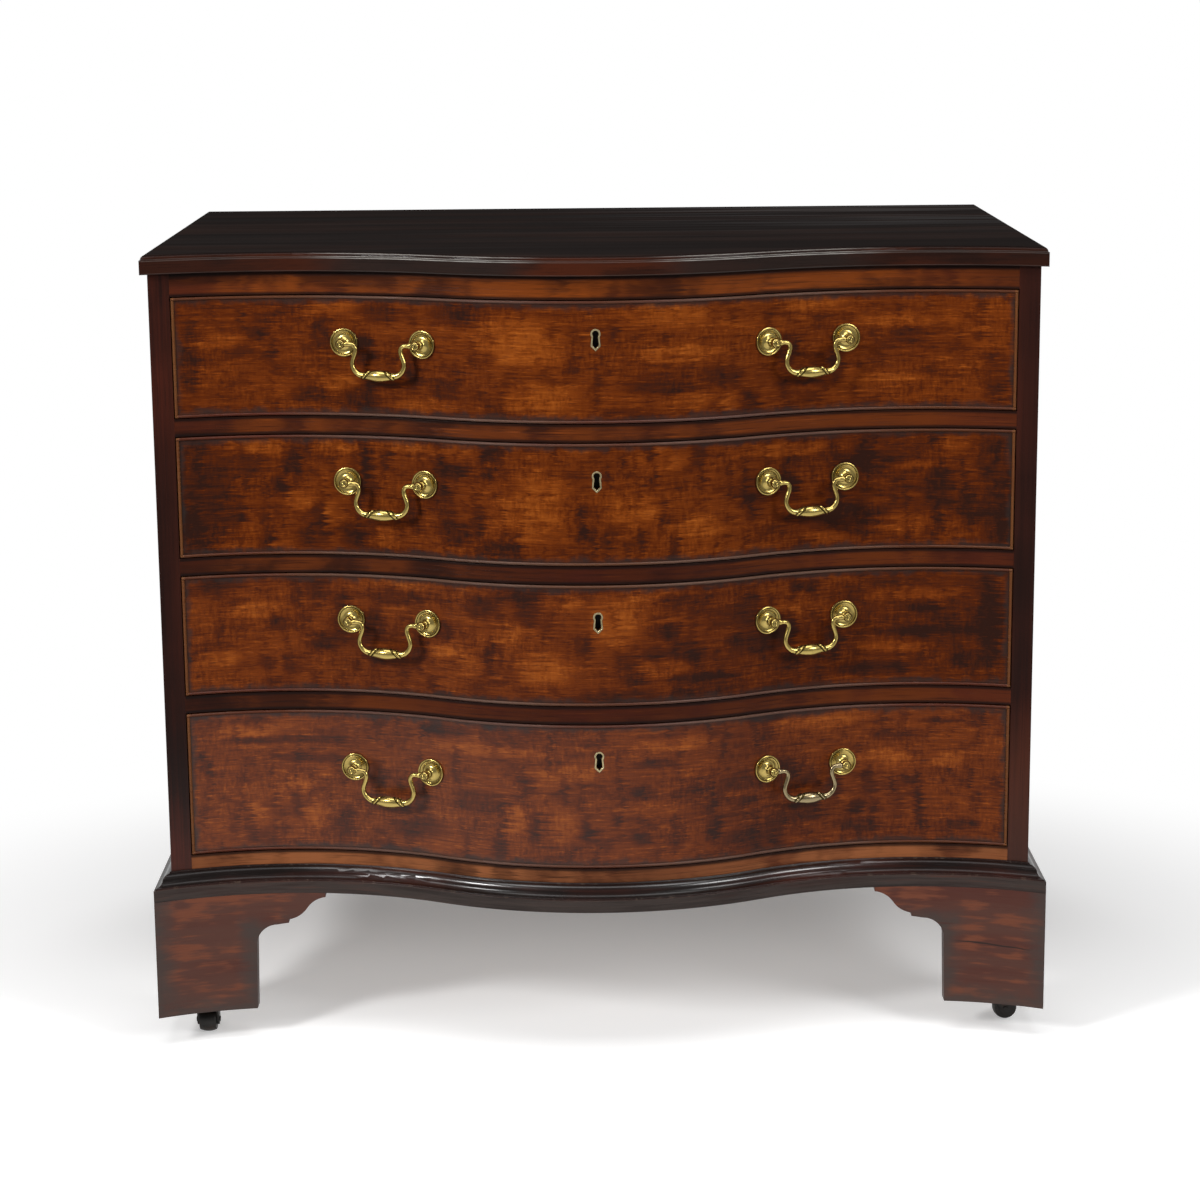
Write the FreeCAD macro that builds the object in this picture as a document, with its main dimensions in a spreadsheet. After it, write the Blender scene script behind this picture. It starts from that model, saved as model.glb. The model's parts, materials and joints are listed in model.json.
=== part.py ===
import FreeCAD, Part
import math
import os
from types import SimpleNamespace

import Sketcher

# A serpentine chest of four long drawers, in millimetres.
# The floor is z = 0, the front faces -Y, and the origin lies under the middle of the chest.

DRIVING_SIZES = {
    "carcass_width": (960, "over the two sides"),
    "carcass_depth": (634, "from the middle of the bulge to the back"),
    "bulge_depth": (84, "how far the bulge stands before the hollows"),
    "hollow_place": (345, "from the middle of the chest to the deepest point of a hollow"),
    "hollow_radius": (382.5, "radius of the hollows in plan"),
    "side_thickness": (22, "carcass side"),
    "back_thickness": (10, "back boards"),
    "back_rebate": (10, "how far the back boards are let into the sides"),
    "board_gap": (0.6, "between neighbouring back boards"),
    "top_band": (15.5, "plain band of the top's edge"),
    "top_lip": (5, "moulded lip above the band"),
    "lip_step": (1.3, "how far the lip stands back from the band"),
    "lip_round": (4.2, "radius of the lip"),
    "top_overhang": (7, "top beyond the carcass"),
    "top_rail_height": (25.5, "rail under the top"),
    "rail_height": (19.5, "rail between two drawers"),
    "bottom_rail_height": (31.2, "rail under the lowest drawer"),
    "rail_depth": (52, "from a hollow to the straight back of a rail"),
    "tenon_length": (10, "rail tenon in a side"),
    "tenon_height": (8, "rail tenon"),
    "tenon_setback": (9, "tenon shoulder behind the front"),
    "housing_depth": (6, "grooves for the dustboards and the bottom"),
    "dustboard_thickness": (8, "dustboard"),
    "runner_height": (8, "drawer runner"),
    "runner_width": (16, "drawer runner"),
    "runner_end_gap": (20, "from a runner to the back boards"),
    "stop_width": (34, "drawer stop"),
    "stop_depth": (20, "drawer stop"),
    "stop_height": (6, "drawer stop"),
    "opening_1": (133, "height of the top drawer's opening"),
    "opening_2": (135, "height of the second opening"),
    "opening_3": (136, "height of the third opening"),
    "opening_4": (164, "height of the lowest opening"),
    "drawer_gap": (1.2, "around a drawer front"),
    "slide_gap": (0.3, "between pieces that slide or turn on each other"),
    "front_thickness": (24, "drawer front"),
    "bead_thickness": (3, "cockbead"),
    "bead_proud": (2, "cockbead before the drawer front"),
    "bead_seat": (8, "cockbead let into the drawer front"),
    "bead_ease": (1, "eased edges on the nose of the cockbead"),
    "lining_thickness": (11, "drawer side"),
    "lining_drop": (5, "drawer side below the top of its front"),
    "drawer_back_thickness": (10, "drawer back"),
    "drawer_back_gap": (12, "behind a closed drawer"),
    "tail_length": (15, "lapped dovetail"),
    "tail_neck": (15, "dovetail at its root"),
    "tail_flare": (3, "dovetail wider at each side of its end"),
    "bottom_thickness": (7, "drawer bottom"),
    "bottom_height": (9, "drawer bottom above the foot of the drawer side"),
    "bottom_groove": (5, "drawer bottom let into front and sides"),
    "keyhole_drop": (41, "keyhole below the top of the drawer front"),
    "keyhole_round": (3.6, "radius of the round eye of the keyhole"),
    "keyhole_eye": (6.1, "centre of the eye above the keyhole's middle"),
    "keyhole_neck": (5.2, "width of the keyhole under its eye"),
    "keyhole_flare": (7, "width of the keyhole above its point"),
    "keyhole_foot": (9.7, "point of the keyhole below its middle"),
    "thread_wall": (1.75, "brass thread round the keyhole"),
    "thread_depth": (4, "brass thread let into the front"),
    "thread_proud": (0.4, "brass thread before the front"),
    "lock_width": (64, "lock case"),
    "lock_height": (60, "lock case"),
    "lock_depth": (12, "lock case"),
    "bolt_width": (14, "lock bolt"),
    "bolt_thickness": (5, "lock bolt"),
    "bolt_length": (22, "lock bolt"),
    "bolt_throw": (8, "lock bolt travel"),
    "inner_post": (186, "from the middle of the chest to the inner handle post"),
    "post_spread": (86, "between the two posts of a handle"),
    "handle_drop": (50.5, "handle posts below the top of a drawer front"),
    "deep_handle_drop": (64, "handle posts below the top of the deep drawer's front"),
    "shank_radius": (2.5, "post through the drawer front"),
    "neck_radius": (3.2, "post between rose and head"),
    "head_radius": (5.2, "post head"),
    "head_stand": (16, "middle of the post head before the drawer front"),
    "finial_radius": (2.8, "button on the post head"),
    "finial_length": (2, "button on the post head"),
    "rose_radius": (15.3, "round rose under a post"),
    "rose_rim": (1.6, "width of the rim round the dished rose"),
    "rose_brim": (2.4, "top of the dish before the drawer front"),
    "rose_dish": (1.3, "bottom of the dish before the drawer front"),
    "rose_collar": (6.8, "radius of the stepped collar in the dish"),
    "rose_step": (1.5, "each step of the collar"),
    "rose_slack": (0.05, "between the edge of the rose and the hollow front"),
    "nut_radius": (5.5, "nut inside the drawer"),
    "nut_height": (5, "nut inside the drawer"),
    "shank_spare": (3, "post beyond its nut"),
    "bail_wire": (2.1, "radius of the bail"),
    "bail_drop": (34.5, "from the hinge line to the middle of the grip"),
    "crest_radius": (5.5, "curl of the bail beside a post"),
    "crest_place": (26, "from the middle of the bail to the inside of the curl"),
    "belly_swell": (3.8, "how much the bail widens on each side below the curl"),
    "corner_radius": (13, "lower corner of the bail"),
    "grip_half": (15.5, "half the length of the swollen grip"),
    "grip_radius": (5.6, "middle of the grip"),
    "pin_engage": (0.5, "end of the bail beyond the middle of a post head"),
    "pin_spare": (1.2, "bore beyond the end of the bail"),
    "base_projection": (17, "base moulding and feet beyond the carcass"),
    "band_height": (14, "plain band of the base moulding"),
    "band_ledge": (28, "base moulding under the carcass"),
    "ogee_height": (15.5, "ogee of the base moulding"),
    "ogee_fillet": (1.5, "small square at each end of the ogee"),
    "moulding_gap": (0.15, "behind the ogee at the serpentine front"),
    "castor_lift": (36, "underside of the feet above the floor"),
    "foot_height": (135.3, "bracket foot"),
    "bracket_thickness": (19, "bracket foot"),
    "bracket_reach": (188, "bracket from the corner to its tip"),
    "tip_depth": (4.8, "tip of the bracket"),
    "ogee_run": (42, "length of the ogee on the bracket"),
    "ogee_drop": (26.2, "fall of the ogee on the bracket"),
    "ogee_radius": (30, "each half of the bracket's ogee"),
    "bracket_step": (4, "square step after the ogee"),
    "nose_run": (13.5, "flat nose after the step"),
    "nose_drop": (1.9, "fall of the nose"),
    "cove_radius": (23, "hollow above the foot"),
    "foot_width": (108, "foot at the floor"),
    "block_width": (58, "block inside a foot"),
    "pin_radius": (4, "castor pin"),
    "pin_length": (30, "castor pin above its plate"),
    "plate_radius": (23, "castor plate"),
    "plate_thickness": (2.2, "castor plate"),
    "roller_radius": (14, "castor roller"),
    "roller_width": (19, "castor roller"),
    "roller_crown": (2, "barrel shape of the roller"),
    "axle_radius": (3, "castor axle"),
    "axle_head": (1.2, "axle beyond a cheek"),
    "castor_trail": (15, "axle behind the castor pin"),
    "crown_thickness": (3, "castor crown"),
    "crown_gap": (2, "between roller and crown"),
    "crown_radius": (14, "round end of the crown"),
    "cheek_thickness": (2.6, "castor cheek"),
    "cheek_radius": (6.5, "round foot of a cheek"),
}

TAILS_FRONT = 4
TAILS_BACK = 3
BACK_BOARDS = 3
DRAWERS = (1, 2, 3, 4)
DEEP_DRAWER = 4
# The way each castor trails, in degrees: 0 to the back, 90 to the left.
CASTOR_TURNS = {"front_left": 180, "front_right": -90, "rear_left": 35, "rear_right": -20}

LEFT_TURN = 1
RIGHT_TURN = -1

doc = FreeCAD.newDocument("SerpentineChest")
sheet = doc.addObject("Spreadsheet::Sheet", "Sizes")
for row, (alias, (length, meaning)) in enumerate(DRIVING_SIZES.items(), start=1):
    sheet.set(f"A{row}", meaning)
    sheet.set(f"B{row}", str(length))
    sheet.setAlias(f"B{row}", alias)
doc.recompute()


class Size:
    """A length that knows its number and the spreadsheet formula that gives it."""

    def __init__(self, number, formula):
        self.number = number
        self.formula = formula

    def __add__(self, other):
        other = as_size(other)
        return Size(self.number + other.number, f"({self.formula} + {other.formula})")

    def __sub__(self, other):
        other = as_size(other)
        return Size(self.number - other.number, f"({self.formula} - {other.formula})")

    def __mul__(self, other):
        other = as_size(other)
        return Size(self.number * other.number, f"({self.formula} * {other.formula})")

    def __truediv__(self, other):
        other = as_size(other)
        return Size(self.number / other.number, f"({self.formula} / {other.formula})")

    def __rsub__(self, other):
        return as_size(other) - self

    def __neg__(self):
        return Size(-self.number, f"(-{self.formula})")

    __radd__ = __add__
    __rmul__ = __mul__


def as_size(value):
    return value if isinstance(value, Size) else Size(float(value), repr(float(value)))


def root(size):
    return Size(math.sqrt(size.number), f"sqrt({size.formula})")


def slope_angle(rise, run):
    angle = math.degrees(math.atan2(rise.number, run.number))
    return Size(angle, f"atan({rise.formula} / {run.formula})")


def larger(first, second, if_so, if_not):
    """One of two sizes, chosen by whether the first is larger than the second."""
    chosen = if_so if first.number > second.number else if_not
    test = f"{first.formula} > {second.formula}"
    return Size(chosen.number, f"({test} ? {if_so.formula} : {if_not.formula})")


def bind(thing, name, size):
    thing.setExpression(name, as_size(size).formula)


s = SimpleNamespace(**{alias: Size(float(sheet.get(alias)), f"Sizes.{alias}") for alias in DRIVING_SIZES})
ZERO = as_size(0)


# Bodies, sketches and features

PLANES = {"XY": "XY_Plane", "XZ": "XZ_Plane", "YZ": "YZ_Plane"}


def new_body(label):
    body = doc.addObject("PartDesign::Body", label)
    body.Label = label
    return body


def origin_plane(body, plane):
    return next(item for item in body.Origin.OriginFeatures if item.Role == PLANES[plane])


def new_sketch(body, plane, at=ZERO):
    """A sketch on one of the body's own planes, moved along the remaining axis to 'at'."""
    sketch = body.newObject("Sketcher::SketchObject", body.Label + "_sketch")
    sketch.AttachmentSupport = [(origin_plane(body, plane), "")]
    sketch.MapMode = "FlatFace"
    away = -as_size(at) if plane == "XZ" else as_size(at)
    bind(sketch, "AttachmentOffset.Base.z", away)
    return sketch


def hold(sketch, kind, places, size):
    """Add one driving dimension to a sketch and bind it to the sheet."""
    index = sketch.addConstraint(Sketcher.Constraint(kind, *places, size.number))
    name = f"{kind}_{index}"
    sketch.renameConstraint(index, name)
    bind(sketch, "Constraints." + name, size)


def hold_point(sketch, geometry, end, point):
    hold(sketch, "DistanceX", (-1, 1, geometry, end), as_size(point[0]))
    hold(sketch, "DistanceY", (-1, 1, geometry, end), as_size(point[1]))


def flat(point):
    return FreeCAD.Vector(as_size(point[0]).number, as_size(point[1]).number, 0)


def arc_between(start, stop, radius, turn):
    """The shorter arc between two points, turning left or right on the way."""
    chord = stop - start
    height = math.sqrt(max(radius * radius - chord.Length * chord.Length / 4, 0))
    across = FreeCAD.Vector(-chord.y, chord.x, 0).normalize() * (height * turn)
    centre = start + chord * 0.5 + across
    first, last = (start, stop) if turn == LEFT_TURN else (stop, start)
    from_angle = math.atan2(first.y - centre.y, first.x - centre.x)
    to_angle = math.atan2(last.y - centre.y, last.x - centre.x)
    circle = Part.Circle(centre, FreeCAD.Vector(0, 0, 1), radius)
    return Part.ArcOfCircle(circle, from_angle, to_angle)


def draw(sketch, points, arcs=None, closed=True):
    """Draw straight runs through the points, with an arc on each run that 'arcs' names."""
    arcs = arcs or {}
    runs = len(points) if closed else len(points) - 1
    first = sketch.GeometryCount
    ends = []
    for run in range(runs):
        start = flat(points[run])
        stop = flat(points[(run + 1) % len(points)])
        turn, radius = arcs.get(run, (LEFT_TURN, None))
        if radius is None:
            sketch.addGeometry(Part.LineSegment(start, stop), False)
        else:
            sketch.addGeometry(arc_between(start, stop, radius.number, turn), False)
        ends.append((1, 2) if turn == LEFT_TURN else (2, 1))
    for run in range(runs):
        hold_point(sketch, first + run, ends[run][0], points[run])
        if run > 0:
            joint = (first + run - 1, ends[run - 1][1], first + run, ends[run][0])
            sketch.addConstraint(Sketcher.Constraint("Coincident", *joint))
        if run in arcs:
            hold(sketch, "Radius", (first + run,), arcs[run][1])
    last = first + runs - 1
    if closed:
        sketch.addConstraint(Sketcher.Constraint("Coincident", last, ends[-1][1], first, ends[0][0]))
    else:
        hold_point(sketch, last, ends[-1][1], points[-1])


def draw_box(sketch, low, high):
    draw(sketch, [low, (high[0], low[1]), high, (low[0], high[1])])


def draw_circle(sketch, centre, radius):
    circle = Part.Circle(flat(centre), FreeCAD.Vector(0, 0, 1), radius.number)
    geometry = sketch.addGeometry(circle, False)
    hold_point(sketch, geometry, 3, centre)
    hold(sketch, "Radius", (geometry,), radius)


def pad(body, sketch, length, back=False):
    feature = body.newObject("PartDesign::Pad", body.Label + "_pad")
    feature.Profile = sketch
    feature.Reversed = back
    bind(feature, "Length", length)
    return feature


def pocket(body, sketch, length=None, along=False):
    """Cut through everything, or cut one length against or along the sketch's normal."""
    feature = body.newObject("PartDesign::Pocket", body.Label + "_pocket")
    feature.Profile = sketch
    if length is None:
        feature.Type = "ThroughAll"
        feature.SideType = "Symmetric"
    else:
        feature.Reversed = along
        bind(feature, "Length", length)
    return feature


def revolve(body, sketch):
    feature = body.newObject("PartDesign::Revolution", body.Label + "_revolution")
    feature.Profile = sketch
    feature.ReferenceAxis = (sketch, ["V_Axis"])
    feature.Angle = 360
    return feature


def sweep(body, profile, path):
    feature = body.newObject("PartDesign::AdditivePipe", body.Label + "_pipe")
    feature.Profile = profile
    feature.Spine = (path, [f"Edge{number + 1}" for number in range(path.GeometryCount)])
    return feature


EDGE_SIZES = {"Fillet": "Radius", "Chamfer": "Size"}


def soften_edges(body, feature, kind, size, wanted):
    """Fillet or chamfer the edges of a feature for which wanted(edge) is true."""
    doc.recompute()
    edges = feature.Shape.Edges
    names = [f"Edge{number}" for number, edge in enumerate(edges, start=1) if wanted(edge)]
    softened = body.newObject("PartDesign::" + kind, body.Label + "_softened")
    softened.Base = (feature, names)
    bind(softened, EDGE_SIZES[kind], size)
    return softened


def mirror_whole(body):
    feature = body.newObject("PartDesign::Mirrored", body.Label + "_mirrored")
    feature.TransformMode = "Whole shape"
    feature.MirrorPlane = (origin_plane(body, "YZ"), [""])
    body.Tip = feature
    return feature


# Copies, cuts and boxes

def move(thing, x=ZERO, y=ZERO, z=ZERO, turn=None):
    for axis, size in (("x", x), ("y", y), ("z", z)):
        bind(thing, "Placement.Base." + axis, size)
    if turn is not None:
        thing.Placement.Rotation = FreeCAD.Rotation(FreeCAD.Vector(0, 0, 1), 0)
        bind(thing, "Placement.Rotation.Angle", turn)
    return thing


def group(label, things, **place):
    """A compound of the given things, moved as a whole."""
    compound = doc.addObject("Part::Compound", label)
    compound.Label = label
    compound.Links = things
    return move(compound, **place)


def mirrored(label, thing):
    copy = doc.addObject("Part::Mirroring", label)
    copy.Label = label
    copy.Source = thing
    copy.Normal = FreeCAD.Vector(1, 0, 0)
    return copy


def cut(label, base, tool):
    result = doc.addObject("Part::Cut", label)
    result.Label = label
    result.Base = base
    result.Tool = tool
    return result


def box(label, low, high):
    """A box between two corners."""
    block = doc.addObject("Part::Box", label)
    block.Label = label
    for name, axis in (("Length", 0), ("Width", 1), ("Height", 2)):
        bind(block, name, as_size(high[axis]) - low[axis])
    return move(block, *low)


def cylinder(label, radius, height, **place):
    rod = doc.addObject("Part::Cylinder", label)
    rod.Label = label
    bind(rod, "Radius", radius)
    bind(rod, "Height", height)
    return move(rod, **place)


NODES = []


def node(thing):
    """Count a finished sub-part: its label names its file."""
    NODES.append(thing)
    return thing


# The serpentine line in plan: a bulge between two hollows, all tangent arcs

both_radii = (s.hollow_place * s.hollow_place + s.bulge_depth * s.bulge_depth) / (2 * s.bulge_depth)
bulge_radius = both_radii - s.hollow_radius
front_y = (s.base_projection - s.carcass_depth) / 2
back_y = front_y + s.carcass_depth
bulge_centre_y = front_y + bulge_radius
hollow_centre_y = front_y + s.bulge_depth - s.hollow_radius


class Serpentine:
    """The front line of the chest, moved outwards by an offset."""

    def __init__(self, outwards):
        self.bulge = bulge_radius + outwards
        self.hollow = s.hollow_radius - outwards
        share = self.bulge / both_radii
        self.join_x = s.hollow_place * share
        self.join_y = bulge_centre_y - (both_radii - s.bulge_depth) * share

    def y_at(self, x):
        """Depth of the line at a distance from the middle that lies on a hollow."""
        aside = x - s.hollow_place
        return hollow_centre_y + root(self.hollow * self.hollow - aside * aside)

    def to_right(self, half_width):
        y = self.y_at(half_width)
        return [(-half_width, y), (-self.join_x, self.join_y), (self.join_x, self.join_y), (half_width, y)]

    def right_arcs(self, run=0):
        hollow = (RIGHT_TURN, self.hollow)
        return {run: hollow, run + 1: (LEFT_TURN, self.bulge), run + 2: hollow}

    def left_arcs(self, run):
        hollow = (LEFT_TURN, self.hollow)
        return {run: hollow, run + 1: (RIGHT_TURN, self.bulge), run + 2: hollow}


face_line = Serpentine(ZERO)


def draw_front_plan(sketch, line, half_width, back):
    """A serpentine front, straight ends and a straight back."""
    points = line.to_right(half_width) + [(half_width, back), (-half_width, back)]
    draw(sketch, points, line.right_arcs())


def draw_strip_plan(sketch, outer, inner, half_width):
    """A strip between two parallel serpentine lines."""
    points = outer.to_right(half_width) + inner.to_right(half_width)[::-1]
    draw(sketch, points, {**outer.right_arcs(), **inner.left_arcs(4)})


def draw_half_line(sketch, line, end_x):
    """The right half of a serpentine line, from the middle of the bulge."""
    middle = (ZERO, bulge_centre_y - line.bulge)
    arcs = {0: (LEFT_TURN, line.bulge), 1: (RIGHT_TURN, line.hollow)}
    draw(sketch, [middle] + line.to_right(end_x)[2:], arcs, closed=False)


# Heights of the chest

foot_bottom = s.castor_lift
foot_top = foot_bottom + s.foot_height
base_top = foot_top + s.band_height
opening_height = {number: getattr(s, f"opening_{number}") for number in DRAWERS}
opening_foot = {}
level = base_top + s.bottom_rail_height
for number in reversed(DRAWERS):
    opening_foot[number] = level
    level = level + opening_height[number] + s.rail_height
top_rail_foot = level - s.rail_height
top_underside = top_rail_foot + s.top_rail_height
rail_foot = {number: opening_foot[number] - s.rail_height for number in DRAWERS[:-1]}

# Places across the chest

half_carcass = s.carcass_width / 2
side_inside = half_carcass - s.side_thickness
rail_back = front_y + s.bulge_depth + s.rail_depth
board_front = back_y - s.back_thickness
groove_front = rail_back - s.housing_depth
drawer_half = side_inside - s.drawer_gap
lining_inside = drawer_half - s.lining_thickness
inner_hollow_y = front_y + s.bulge_depth + s.front_thickness


bottom_board_top = base_top + s.bottom_rail_height - s.runner_height
tenon_front = face_line.y_at(side_inside) + s.tenon_setback
tenon_back = groove_front - s.tenon_setback / 2


def dustboard_levels(number):
    top = opening_foot[number] - s.runner_height
    return top - s.dustboard_thickness, top


def tenon_levels(foot, height):
    middle = foot + height / 2
    return middle - s.tenon_height / 2, middle + s.tenon_height / 2


def all_rails():
    yield base_top, s.bottom_rail_height
    for number in rail_foot:
        yield rail_foot[number], s.rail_height
    yield top_rail_foot, s.top_rail_height


# Carcass

def make_top_board():
    body = new_body("top_board")
    band = new_sketch(body, "XY", top_underside)
    draw_front_plan(band, Serpentine(s.top_overhang), half_carcass + s.top_overhang, back_y)
    pad(body, band, s.top_band)
    lip_out = s.top_overhang - s.lip_step
    lip_line = Serpentine(lip_out)
    lip = new_sketch(body, "XY", top_underside + s.top_band)
    draw_front_plan(lip, lip_line, half_carcass + lip_out, back_y)
    lip_pad = pad(body, lip, s.top_lip)
    surface = (top_underside + s.top_band + s.top_lip).number

    def on_moulded_edge(edge):
        box_of_edge = edge.BoundBox
        at_back = box_of_edge.YMin > back_y.number - 0.01
        return box_of_edge.ZMin > surface - 0.01 and not at_back

    soften_edges(body, lip_pad, "Fillet", s.lip_round, on_moulded_edge)
    return node(body)


def make_side():
    body = new_body("right_side")
    plan = new_sketch(body, "XY", base_top)
    rebate = side_inside + s.back_rebate
    points = [
        (side_inside, face_line.y_at(side_inside)),
        (half_carcass, face_line.y_at(half_carcass)),
        (half_carcass, back_y),
        (rebate, back_y),
        (rebate, board_front),
        (side_inside, board_front),
    ]
    draw(plan, points, {0: (RIGHT_TURN, face_line.hollow)})
    pad(body, plan, top_underside - base_top)
    grooves = new_sketch(body, "YZ", side_inside)
    draw_box(grooves, (rail_back, base_top), (board_front, bottom_board_top))
    for number in rail_foot:
        low, high = dustboard_levels(number)
        draw_box(grooves, (groove_front, low), (board_front, high))
    pocket(body, grooves, s.housing_depth, along=True)
    mortises = new_sketch(body, "YZ", side_inside)
    for foot, height in all_rails():
        low, high = tenon_levels(foot, height)
        draw_box(mortises, (tenon_front, low), (tenon_back, high))
    pocket(body, mortises, s.tenon_length, along=True)
    node(body)
    return node(mirrored("left_side", body))


bolt_y = front_y + s.front_thickness - s.lock_depth / 2
socket_half = s.bolt_width / 2 + s.drawer_gap
socket_depth = s.bolt_throw + s.drawer_gap


def make_rail(label, height, has_groove, has_socket):
    """One rail with its foot at z = 0."""
    body = new_body(label)
    plan = new_sketch(body, "XY")
    draw_front_plan(plan, face_line, side_inside, rail_back)
    pad(body, plan, height)
    low, high = tenon_levels(ZERO, height)
    tenon = new_sketch(body, "XY", low)
    for side in (-1, 1):
        inner = side_inside * side
        outer = (side_inside + s.tenon_length) * side
        left, right = (inner, outer) if side > 0 else (outer, inner)
        draw_box(tenon, (left, tenon_front), (right, tenon_back))
    pad(body, tenon, high - low)
    if has_groove:
        groove = new_sketch(body, "XY", height - s.runner_height - s.dustboard_thickness)
        draw_box(groove, (-side_inside, groove_front), (side_inside, rail_back))
        pocket(body, groove, s.dustboard_thickness, along=True)
    if has_socket:
        socket = new_sketch(body, "XY")
        half_y = s.bolt_thickness / 2 + s.drawer_gap
        draw_box(socket, (-socket_half, bolt_y - half_y), (socket_half, bolt_y + half_y))
        pocket(body, socket, socket_depth, along=True)
    return body


def make_rails():
    bottom = make_rail("bottom_rail", s.bottom_rail_height, False, False)
    dividing = make_rail("dividing_rail", s.rail_height, True, True)
    top = make_rail("top_rail", s.top_rail_height, False, True)
    rails = [group("bottom_rail_in_place", [bottom], z=base_top)]
    for number, foot in rail_foot.items():
        rails.append(group(f"rail_under_drawer_{number}", [dividing], z=foot))
    rails.append(group("top_rail_in_place", [top], z=top_rail_foot))
    return node(group("front_rails", rails))


def make_inside_boards():
    housed = side_inside + s.housing_depth
    node(box("carcass_bottom", (-housed, rail_back, base_top), (housed, board_front, bottom_board_top)))
    boards = []
    for number in rail_foot:
        low, high = dustboard_levels(number)
        boards.append(box(f"dustboard_{number}", (-housed, groove_front, low), (housed, board_front, high)))
    node(group("dustboards", boards))
    half_back = side_inside + s.back_rebate
    width = (2 * half_back - (BACK_BOARDS - 1) * s.board_gap) / BACK_BOARDS
    boards = []
    for count in range(BACK_BOARDS):
        left = (width + s.board_gap) * count - half_back
        low = (left, board_front, base_top)
        boards.append(box(f"back_board_{count + 1}", low, (left + width, back_y, top_underside)))
    node(group("back_boards", boards))


def make_runners_and_stops():
    runners = []
    stops = []
    stop_front = inner_hollow_y + s.slide_gap
    for number in DRAWERS:
        foot = opening_foot[number]
        low = (side_inside - s.runner_width, rail_back, foot - s.runner_height)
        runner = box(f"runner_{number}", low, (side_inside, board_front - s.runner_end_gap, foot))
        runners += [runner, mirrored(f"left_runner_{number}", runner)]
        low = (s.hollow_place - s.stop_width / 2, stop_front, foot)
        high = (s.hollow_place + s.stop_width / 2, stop_front + s.stop_depth, foot + s.stop_height)
        stop = box(f"stop_{number}", low, high)
        stops += [stop, mirrored(f"left_stop_{number}", stop)]
    node(group("drawer_runners", runners))
    node(group("drawer_stops", stops))


# Base moulding and bracket feet

base_half = half_carcass + s.base_projection
base_line = Serpentine(s.base_projection)
corner_y = base_line.y_at(base_half)


def draw_moulding(sketch, face, outwards, gap):
    """The moulding's section: a band under the carcass with an ogee standing on its edge."""
    def at(out):
        return face + outwards * out

    fillet = s.ogee_fillet
    ogee_out = s.base_projection - fillet
    ogee_foot = base_top + fillet
    middle_out = (ogee_out + fillet) / 2
    middle_z = (ogee_foot + base_top + s.ogee_height - fillet) / 2
    reach = ogee_out - middle_out
    rise = middle_z - ogee_foot
    radius = (reach * reach + rise * rise) / (2 * rise)
    points = [
        (at(-s.band_ledge), foot_top),
        (at(s.base_projection), foot_top),
        (at(s.base_projection), base_top),
        (at(ogee_out), base_top),
        (at(ogee_out), ogee_foot),
        (at(middle_out), middle_z),
        (at(fillet), base_top + s.ogee_height - fillet),
        (at(fillet), base_top + s.ogee_height),
        (at(gap), base_top + s.ogee_height),
        (at(gap), base_top),
        (at(-s.band_ledge), base_top),
    ]
    concave, convex = (LEFT_TURN, RIGHT_TURN) if outwards < 0 else (RIGHT_TURN, LEFT_TURN)
    draw(sketch, points, {4: (concave, radius), 5: (convex, radius)})


def mitre_inside(depth):
    """The inner end of a mitre that cuts a corner piece of the given depth."""
    return (base_half - depth, Serpentine(s.base_projection - depth).y_at(base_half - depth))


def draw_mitre_waste(sketch, depth, keep_front):
    """Everything on the other side of the mitre at the right front corner."""
    corner = (base_half, corner_y)
    inside = mitre_inside(depth)
    beyond = (corner[0] + (corner[0] - inside[0]), corner[1] + (corner[1] - inside[1]))
    within = (inside[0] + (inside[0] - corner[0]), inside[1] + (inside[1] - corner[1]))
    if keep_front:
        draw(sketch, [beyond, (beyond[0], within[1]), within])
    else:
        draw(sketch, [within, (within[0], beyond[1]), beyond])


def make_base_moulding():
    depth = s.base_projection + s.band_ledge
    front = new_body("front_moulding")
    path = new_sketch(front, "XY", foot_top)
    draw_half_line(path, base_line, base_half + s.base_projection)
    section = new_sketch(front, "YZ")
    draw_moulding(section, front_y, -1, s.moulding_gap)
    sweep(front, section, path)
    waste = new_sketch(front, "XY")
    draw_mitre_waste(waste, depth, keep_front=True)
    pocket(front, waste)
    mirror_whole(front)
    right = new_body("right_moulding")
    section = new_sketch(right, "XZ", back_y)
    draw_moulding(section, half_carcass, 1, ZERO)
    pad(right, section, back_y - corner_y + s.base_projection)
    waste = new_sketch(right, "XY")
    draw_mitre_waste(waste, depth, keep_front=False)
    pocket(right, waste)
    return node(group("base_moulding", [front, right, mirrored("left_moulding", right)]))


def draw_bracket(sketch, corner, inwards):
    """The outline of a bracket in elevation, from its corner inwards."""
    def at(distance):
        return corner + inwards * distance

    ogee_end = s.bracket_reach - s.ogee_run
    ogee_foot = foot_top - s.tip_depth - s.ogee_drop
    nose_foot = ogee_foot - s.bracket_step
    cove_top = nose_foot - s.nose_drop
    cove_end = ogee_end - s.nose_run
    points = [
        (at(ZERO), foot_bottom),
        (at(ZERO), foot_top),
        (at(s.bracket_reach), foot_top),
        (at(s.bracket_reach), foot_top - s.tip_depth),
        (at(s.bracket_reach - s.ogee_run / 2), foot_top - s.tip_depth - s.ogee_drop / 2),
        (at(ogee_end), ogee_foot),
        (at(ogee_end), nose_foot),
        (at(cove_end), cove_top),
        (at(cove_end - s.cove_radius), cove_top - s.cove_radius),
        (at(s.foot_width), foot_bottom),
    ]
    hollow, swell = (RIGHT_TURN, LEFT_TURN) if inwards < 0 else (LEFT_TURN, RIGHT_TURN)
    arcs = {3: (hollow, s.ogee_radius), 4: (swell, s.ogee_radius), 7: (hollow, s.cove_radius)}
    draw(sketch, points, arcs)


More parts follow.
